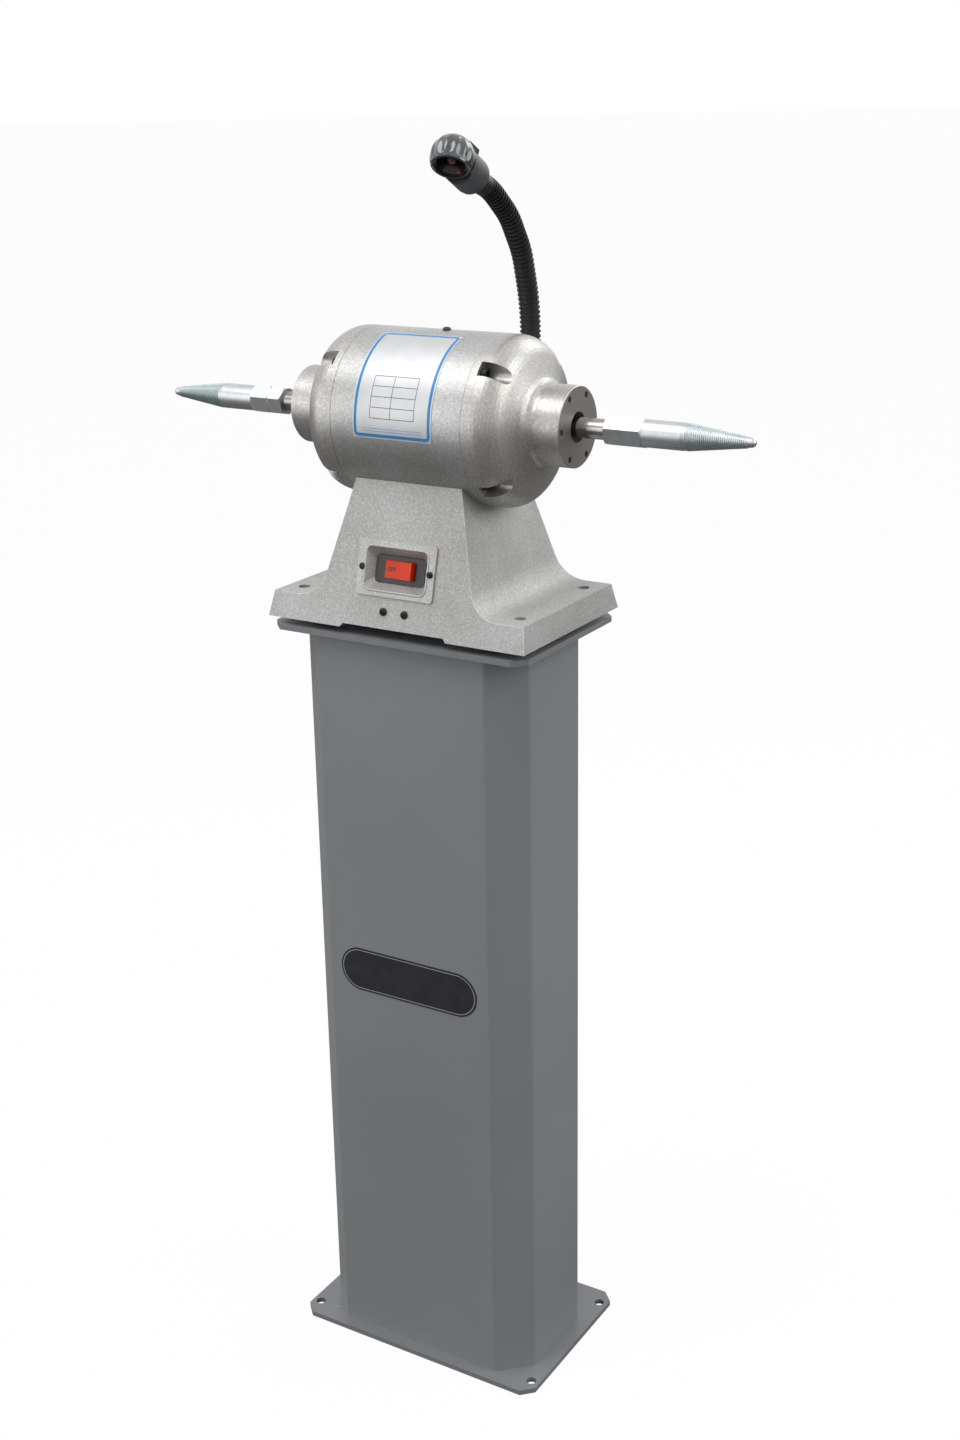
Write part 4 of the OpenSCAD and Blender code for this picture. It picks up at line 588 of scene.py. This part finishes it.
# The fluted hood: a ball cut open at the mouth, with flutes that fade out towards its back
def fluteHood():
    deselectAll()
    bpy.ops.mesh.primitive_uv_sphere_add(
        segments=hood["flutes"] * hood["facesPerFlute"], ring_count=hood["rings"],
        radius=(hood["radius"] - hood["clear"]) * mm,
    )
    piece = bpy.context.active_object
    piece.name = "flutedHood"
    bpy.ops.object.mode_set(mode="EDIT")
    bpy.ops.mesh.select_all(action="SELECT")
    bpy.ops.mesh.bisect(plane_co=(0, 0, hood["rim"] * mm), plane_no=(0, 0, 1), clear_outer=True)
    bpy.ops.object.mode_set(mode="OBJECT")
    for vertex in piece.data.vertices:
        polar = math.degrees(math.acos(max(-1, min(1, vertex.co.z / vertex.co.length))))
        rising = min(max((polar - hood["from"]) / (hood["full"] - hood["from"]), 0), 1)
        fading = min(max((hood["to"] - polar) / (hood["to"] - hood["full"]), 0), 1)
        around = math.atan2(vertex.co.y, vertex.co.x)
        wave = 0.5 + 0.5 * math.cos(hood["flutes"] * around)
        vertex.co *= 1 - hood["depth"] / hood["radius"] * wave * min(rising, fading ** hood["fade"])
    wall = piece.modifiers.new("wall", "SOLIDIFY")
    wall.thickness = hood["wall"] * mm
    wall.offset = -1
    pick(piece)
    bpy.ops.object.modifier_apply(modifier="wall")
    smooth(piece, 50)
    dipped = Matrix.Rotation(math.radians(90 + hood["dip"]), 4, "X")
    turned = Matrix.Rotation(math.radians(hood["yaw"]), 4, "Z") @ dipped
    settle(piece, Matrix.Translation(Vector(hood["middle"]) * mm) @ turned)
    piece.data.materials.append(smokedHood)
    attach(piece, "lamp_head")
    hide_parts("lamp_hood")


fluteHood()
print("hood fluted")

edging = {
    "width": 2.0, "segments": 3, "weld": 0.01, "flat": 0.5, "sharp": 30.0,
    "outside": 60.0, "above": 862.0, "end": 151.0, "foot": 870.0,  # where the long outer edges lie
    "level": 0.02, "facing": 0.9, "leaning": 0.2,  # parts of a face's normal
}


# The sand casting with its long outer edges rounded over; its holes and its hollow stay as they are
def softenCasting():
    piece = parts["machine_base"].copy()
    piece.data = parts["machine_base"].data.copy()
    piece.name = "softenedCasting"
    bpy.context.scene.collection.objects.link(piece)
    pick(piece)
    bpy.context.tool_settings.mesh_select_mode = (False, True, False)
    bpy.ops.object.mode_set(mode="EDIT")
    bpy.ops.mesh.select_all(action="SELECT")
    bpy.ops.mesh.remove_doubles(threshold=edging["weld"] * mm)
    bpy.ops.mesh.dissolve_limited(angle_limit=math.radians(edging["flat"]))
    bpy.ops.mesh.select_all(action="DESELECT")
    bpy.ops.object.mode_set(mode="OBJECT")
    facing = {}
    for face in piece.data.polygons:
        for key in face.edge_keys:
            facing.setdefault(key, []).append(face.normal.copy())
    for edge in piece.data.edges:
        normals = sorted(facing.get(tuple(sorted(edge.vertices)), []), key=lambda normal: abs(normal.y))
        if len(normals) != 2 or normals[0].angle(normals[1]) < math.radians(edging["sharp"]):
            continue
        side, other = normals
        middle = sum((piece.data.vertices[k].co for k in edge.vertices), Vector()) / 2 / mm
        leaning = abs(other.y) > edging["facing"] and other.z > edging["leaning"]
        outline = leaning and abs(middle.x) > edging["outside"] and middle.z > edging["above"]
        standing = abs(other.y) < edging["level"] and middle.z > edging["foot"]
        footEnd = standing and abs(middle.x) > edging["end"]
        edge.select = abs(side.y) <= edging["level"] and (outline or footEnd)
    # the new bevel faces take the edge enamel, whose near white colour is a painted highlight
    piece.data.materials.append(edgeHighlightEnamel)
    bpy.ops.object.mode_set(mode="EDIT")
    bpy.ops.mesh.bevel(
        offset=edging["width"] * mm, segments=edging["segments"], affect="EDGES",
        clamp_overlap=True, material=1,
    )
    bpy.ops.object.mode_set(mode="OBJECT")
    smooth(piece, 35)
    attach(piece, "stand")
    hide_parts("machine_base")


softenCasting()
print("casting softened")

cornerFaces = 8  # round each upright corner of a block


# A block with round upright corners, wider at its top where it is given another size there
def addBlock(name, low, high, bottom, top, corner):
    middle, tall = (bottom + top) / 2 * mm, (top - bottom) * mm
    deselectAll()
    bpy.ops.mesh.primitive_cube_add(size=1, location=(0, 0, middle))
    block = bpy.context.active_object
    block.name = name
    block.scale = (low[0] * mm, low[1] * mm, tall)
    bpy.ops.object.transform_apply(location=True, rotation=True, scale=True)
    for vertex in block.data.vertices:
        if vertex.co.z > middle:
            vertex.co.x *= high[0] / low[0]
            vertex.co.y *= high[1] / low[1]
    bpy.context.tool_settings.mesh_select_mode = (False, True, False)
    bpy.ops.object.mode_set(mode="EDIT")
    bpy.ops.mesh.select_all(action="DESELECT")
    bpy.ops.object.mode_set(mode="OBJECT")
    for edge in block.data.edges:
        ends = [block.data.vertices[k].co.z for k in edge.vertices]
        edge.select = abs(ends[0] - ends[1]) > tall / 2
    bpy.ops.object.mode_set(mode="EDIT")
    bpy.ops.mesh.bevel(offset=corner * mm, segments=cornerFaces, affect="EDGES")
    bpy.ops.object.mode_set(mode="OBJECT")
    return block


def combine(piece, other, how):
    pick(piece)
    cut = piece.modifiers.new("cut", "BOOLEAN")
    cut.operation = how
    cut.object = other
    bpy.ops.object.modifier_apply(modifier="cut")
    bpy.data.objects.remove(other)


# Rounds over every edge of a piece that turns by more than 40 degrees
def easeEdges(piece, width, segments):
    pick(piece)
    easing = piece.modifiers.new("easing", "BEVEL")
    easing.width = width * mm
    easing.segments = segments
    easing.angle_limit = math.radians(40)
    bpy.ops.object.modifier_apply(modifier="easing")
    smooth(piece, 35)


surround = {
    "origin": (-2.0, -81.735, 919.0), "lean": 14.7,
    "plate": (91.0, 56.0, 1.8), "corner": 3.0, "edge": 0.6, "gap": 0.06,
    "mouth": (71.0, 42.0), "floor": (58.1, 27.1), "deep": 9.0, "wall": 1.2,
    "cupCorner": 6.0, "hollowCorner": 5.0, "cupBelow": 0.3,
    "bead": (1.6, 0.7), "beadSlope": 1.2, "beadCorner": 8.0, "beadSunk": 0.5,
    "window": (49.2, 21.8), "windowCorner": 0.8, "holeAt": 40.0, "holeSize": 3.4, "holeFaces": 32,
    "past": 0.4, "through": 5.0,  # how far the cutting shapes run past the metal
}


# The pressed surround of the switch: a plate with round corners, a raised bead and a leaning recess
def pressSurround():
    look = surround
    plate, mouth, floor, deep, wall = (look[key] for key in ("plate", "mouth", "floor", "deep", "wall"))
    top = plate[2] + look["gap"]
    beadWide, beadTop = look["bead"][0], top + look["bead"][1]
    piece = addBlock("pressedSurround", plate, plate, look["gap"], top, look["corner"])
    rim = [side + 2 * wall + 2 * beadWide for side in mouth]
    raised = [side - look["beadSlope"] for side in rim]
    bead = addBlock("bead", rim, raised, top - look["beadSunk"], beadTop, look["beadCorner"])
    combine(piece, bead, "UNION")
    small, large = ([side + 2 * wall for side in sides] for sides in (floor, mouth))
    cup = addBlock("cup", small, large, -deep - wall, top - look["cupBelow"], look["cupCorner"])
    combine(piece, cup, "UNION")
    steep = 1 + (look["bead"][1] + look["past"]) / (deep + plate[2])  # carries the slope on past the mouth
    over = [low + (high - low) * steep for low, high in zip(floor, mouth)]
    hollow = addBlock("hollow", floor, over, -deep, beadTop + look["past"], look["hollowCorner"])
    combine(piece, hollow, "DIFFERENCE")
    hole, bottom = look["window"], -deep - look["through"]
    combine(piece, addBlock("window", hole, hole, bottom, 0, look["windowCorner"]), "DIFFERENCE")
    for side in (-1, 1):
        deselectAll()
        bpy.ops.mesh.primitive_cylinder_add(
            vertices=look["holeFaces"], radius=look["holeSize"] / 2 * mm,
            depth=2 * look["through"] * mm, location=(side * look["holeAt"] * mm, 0, 0),
        )
        combine(piece, bpy.context.active_object, "DIFFERENCE")
    easeEdges(piece, look["edge"], 3)
    turned = Matrix.Rotation(math.radians(90 - look["lean"]), 4, "X")
    settle(piece, Matrix.Translation(Vector(look["origin"]) * mm) @ turned)
    piece.data.materials.append(plateEnamel)
    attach(piece, "stand")
    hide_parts("switch_plate")


pressSurround()
print("switch surround pressed")

offMark = {
    "size": 5.8, "thick": 0.12, "bold": 0.16,
    "tilt": 8.0, "pivot": -11.0, "face": 4.8, "along": -9.4,  # of the rocker, from the surround's origin
}


# The moulded word on the half of the rocker that is pressed when the machine is off
def markRocker():
    deselectAll()
    bpy.ops.object.text_add()
    piece = bpy.context.active_object
    piece.data.body = "OFF"
    piece.data.size = offMark["size"] * mm
    piece.data.extrude = offMark["thick"] * mm
    piece.data.offset = offMark["bold"] * mm
    piece.data.align_x = "CENTER"
    piece.data.align_y = "CENTER"
    bpy.ops.object.convert(target="MESH")
    piece = bpy.context.active_object
    piece.name = "offMark"
    tilt = math.radians(offMark["tilt"])
    lean = Matrix.Rotation(math.radians(90 - surround["lean"]), 4, "X")
    rocker = Matrix.Translation((0, 0, offMark["pivot"] * mm)) @ Matrix.Rotation(-tilt, 4, "Y")
    half = Matrix.Translation((0, 0, offMark["face"] * mm)) @ Matrix.Rotation(tilt, 4, "Y")
    half = half @ Matrix.Translation((offMark["along"] * mm, 0, 0))
    place = Matrix.Translation(Vector(surround["origin"]) * mm)
    settle(piece, place @ lean @ rocker @ half)
    piece.data.materials.append(blackNylon)
    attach(piece, "main_rocker")


markRocker()
print("rocker marked")

rockerCover = {
    "middle": (46.0, -19.82, 1300.4), "lean": -28.5,
    "outer": (14.0, 20.0), "from": 16.2, "to": 22.4, "corner": 1.6, "edge": 0.4,
    "seat": (12.3, 18.3), "seatTop": 20.05, "seatCorner": 0.4,
    "window": (7.8, 14.0), "windowCorner": 0.8, "past": 2.0,
}


# The black cover that snaps over the switch well of the lamp, with a window for its rocker
def snapCover():
    look = rockerCover
    outer, seat, window, bottom, top = (look[key] for key in ("outer", "seat", "window", "from", "to"))
    under, over = bottom - look["past"], top + look["past"]
    piece = addBlock("lampRockerCover", outer, outer, bottom, top, look["corner"])
    combine(piece, addBlock("seat", seat, seat, under, look["seatTop"], look["seatCorner"]), "DIFFERENCE")
    combine(piece, addBlock("window", window, window, under, over, look["windowCorner"]), "DIFFERENCE")
    easeEdges(piece, look["edge"], 2)
    turned = Matrix.Rotation(math.radians(look["lean"]), 4, "X")
    settle(piece, Matrix.Translation(Vector(look["middle"]) * mm) @ turned)
    piece.data.materials.append(blackNylon)
    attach(piece, "lamp_head")


snapCover()
print("lamp switch covered")

studio = {  # metres and watts
    "floor": 200.0, "floorSeen": "#ffffff", "floorBounce": "#6a6a6a", "whiteShare": 0.94, "cloud": 0.5,
    "worldLevel": 0.5, "aim": (0, 0, 0.8),
    "lamps": (
        ("keyLight", (-0.9, -1.3, 3.9), 2.2, 54),
        ("frontLight", (-2.8, -2.9, 0.9), 3.4, 44),
        ("sideLight", (2.6, 0.6, 2.3), 2.2, 36),
        ("rimLight", (0.6, 2.4, 2.6), 1.4, 14),
    ),
}


# A floor that is nearly white to the camera and grey to the machine, and a world that is white
# to the camera and to glossy and clear surfaces
def buildStudio():
    deselectAll()
    bpy.ops.mesh.primitive_plane_add(size=studio["floor"])
    floor = bpy.context.active_object
    floor.name = "floor"
    mat, place = newMaterial("paleFloor")
    seen = addNode(mat, "LightPath", out="Is Camera Ray")
    cloud = addNode(mat, "TexNoise", {"Vector": place, "Scale": 1 / studio["cloud"], "Detail": 2.0})
    tone = addNode(mat, "MapRange", {"Value": cloud, "To Min": 0.96, "To Max": 1.0})
    tone = addNode(mat, "Math", {0: tone, 1: seen}, operation="MULTIPLY")
    greys = {0: tone, 6: studio["floorBounce"], 7: studio["floorSeen"]}
    base = addNode(mat, "Mix", greys, 2, data_type="RGBA")
    plain = addNode(mat, "BsdfPrincipled", {"Base Color": base, "Roughness": 0.7})
    white = addNode(mat, "Emission", {"Color": "#ffffff", "Strength": 1.0})
    share = addNode(mat, "Math", {0: seen, 1: studio["whiteShare"]}, operation="MULTIPLY")
    addNode(mat, "OutputMaterial", {"Surface": addNode(mat, "MixShader", {0: share, 1: plain, 2: white})})
    floor.data.materials.append(mat)

    world = bpy.data.worlds.new("studio")
    bpy.context.scene.world = world
    world.use_nodes = True
    world.node_tree.nodes.clear()
    seen = addNode(world, "LightPath", out="Is Camera Ray")
    for ray in ("Is Glossy Ray", "Is Transmission Ray"):
        seen = addNode(world, "Math", {0: seen, 1: addNode(world, "LightPath", out=ray)}, operation="MAXIMUM")
    strength = addNode(world, "MapRange", {"Value": seen, "To Min": studio["worldLevel"], "To Max": 1.0})
    sky = addNode(world, "Background", {"Color": "#ffffff", "Strength": strength})
    addNode(world, "OutputWorld", {"Surface": sky})

    for name, spot, size, power in studio["lamps"]:
        data = bpy.data.lights.new(name, "AREA")
        data.size = size
        data.energy = power
        lamp = bpy.data.objects.new(name, data)
        bpy.context.scene.collection.objects.link(lamp)
        facing = (Vector(studio["aim"]) - Vector(spot)).to_track_quat("-Z", "Y")
        lamp.matrix_world = Matrix.Translation(spot) @ facing.to_matrix().to_4x4()


buildStudio()
print("studio lit")
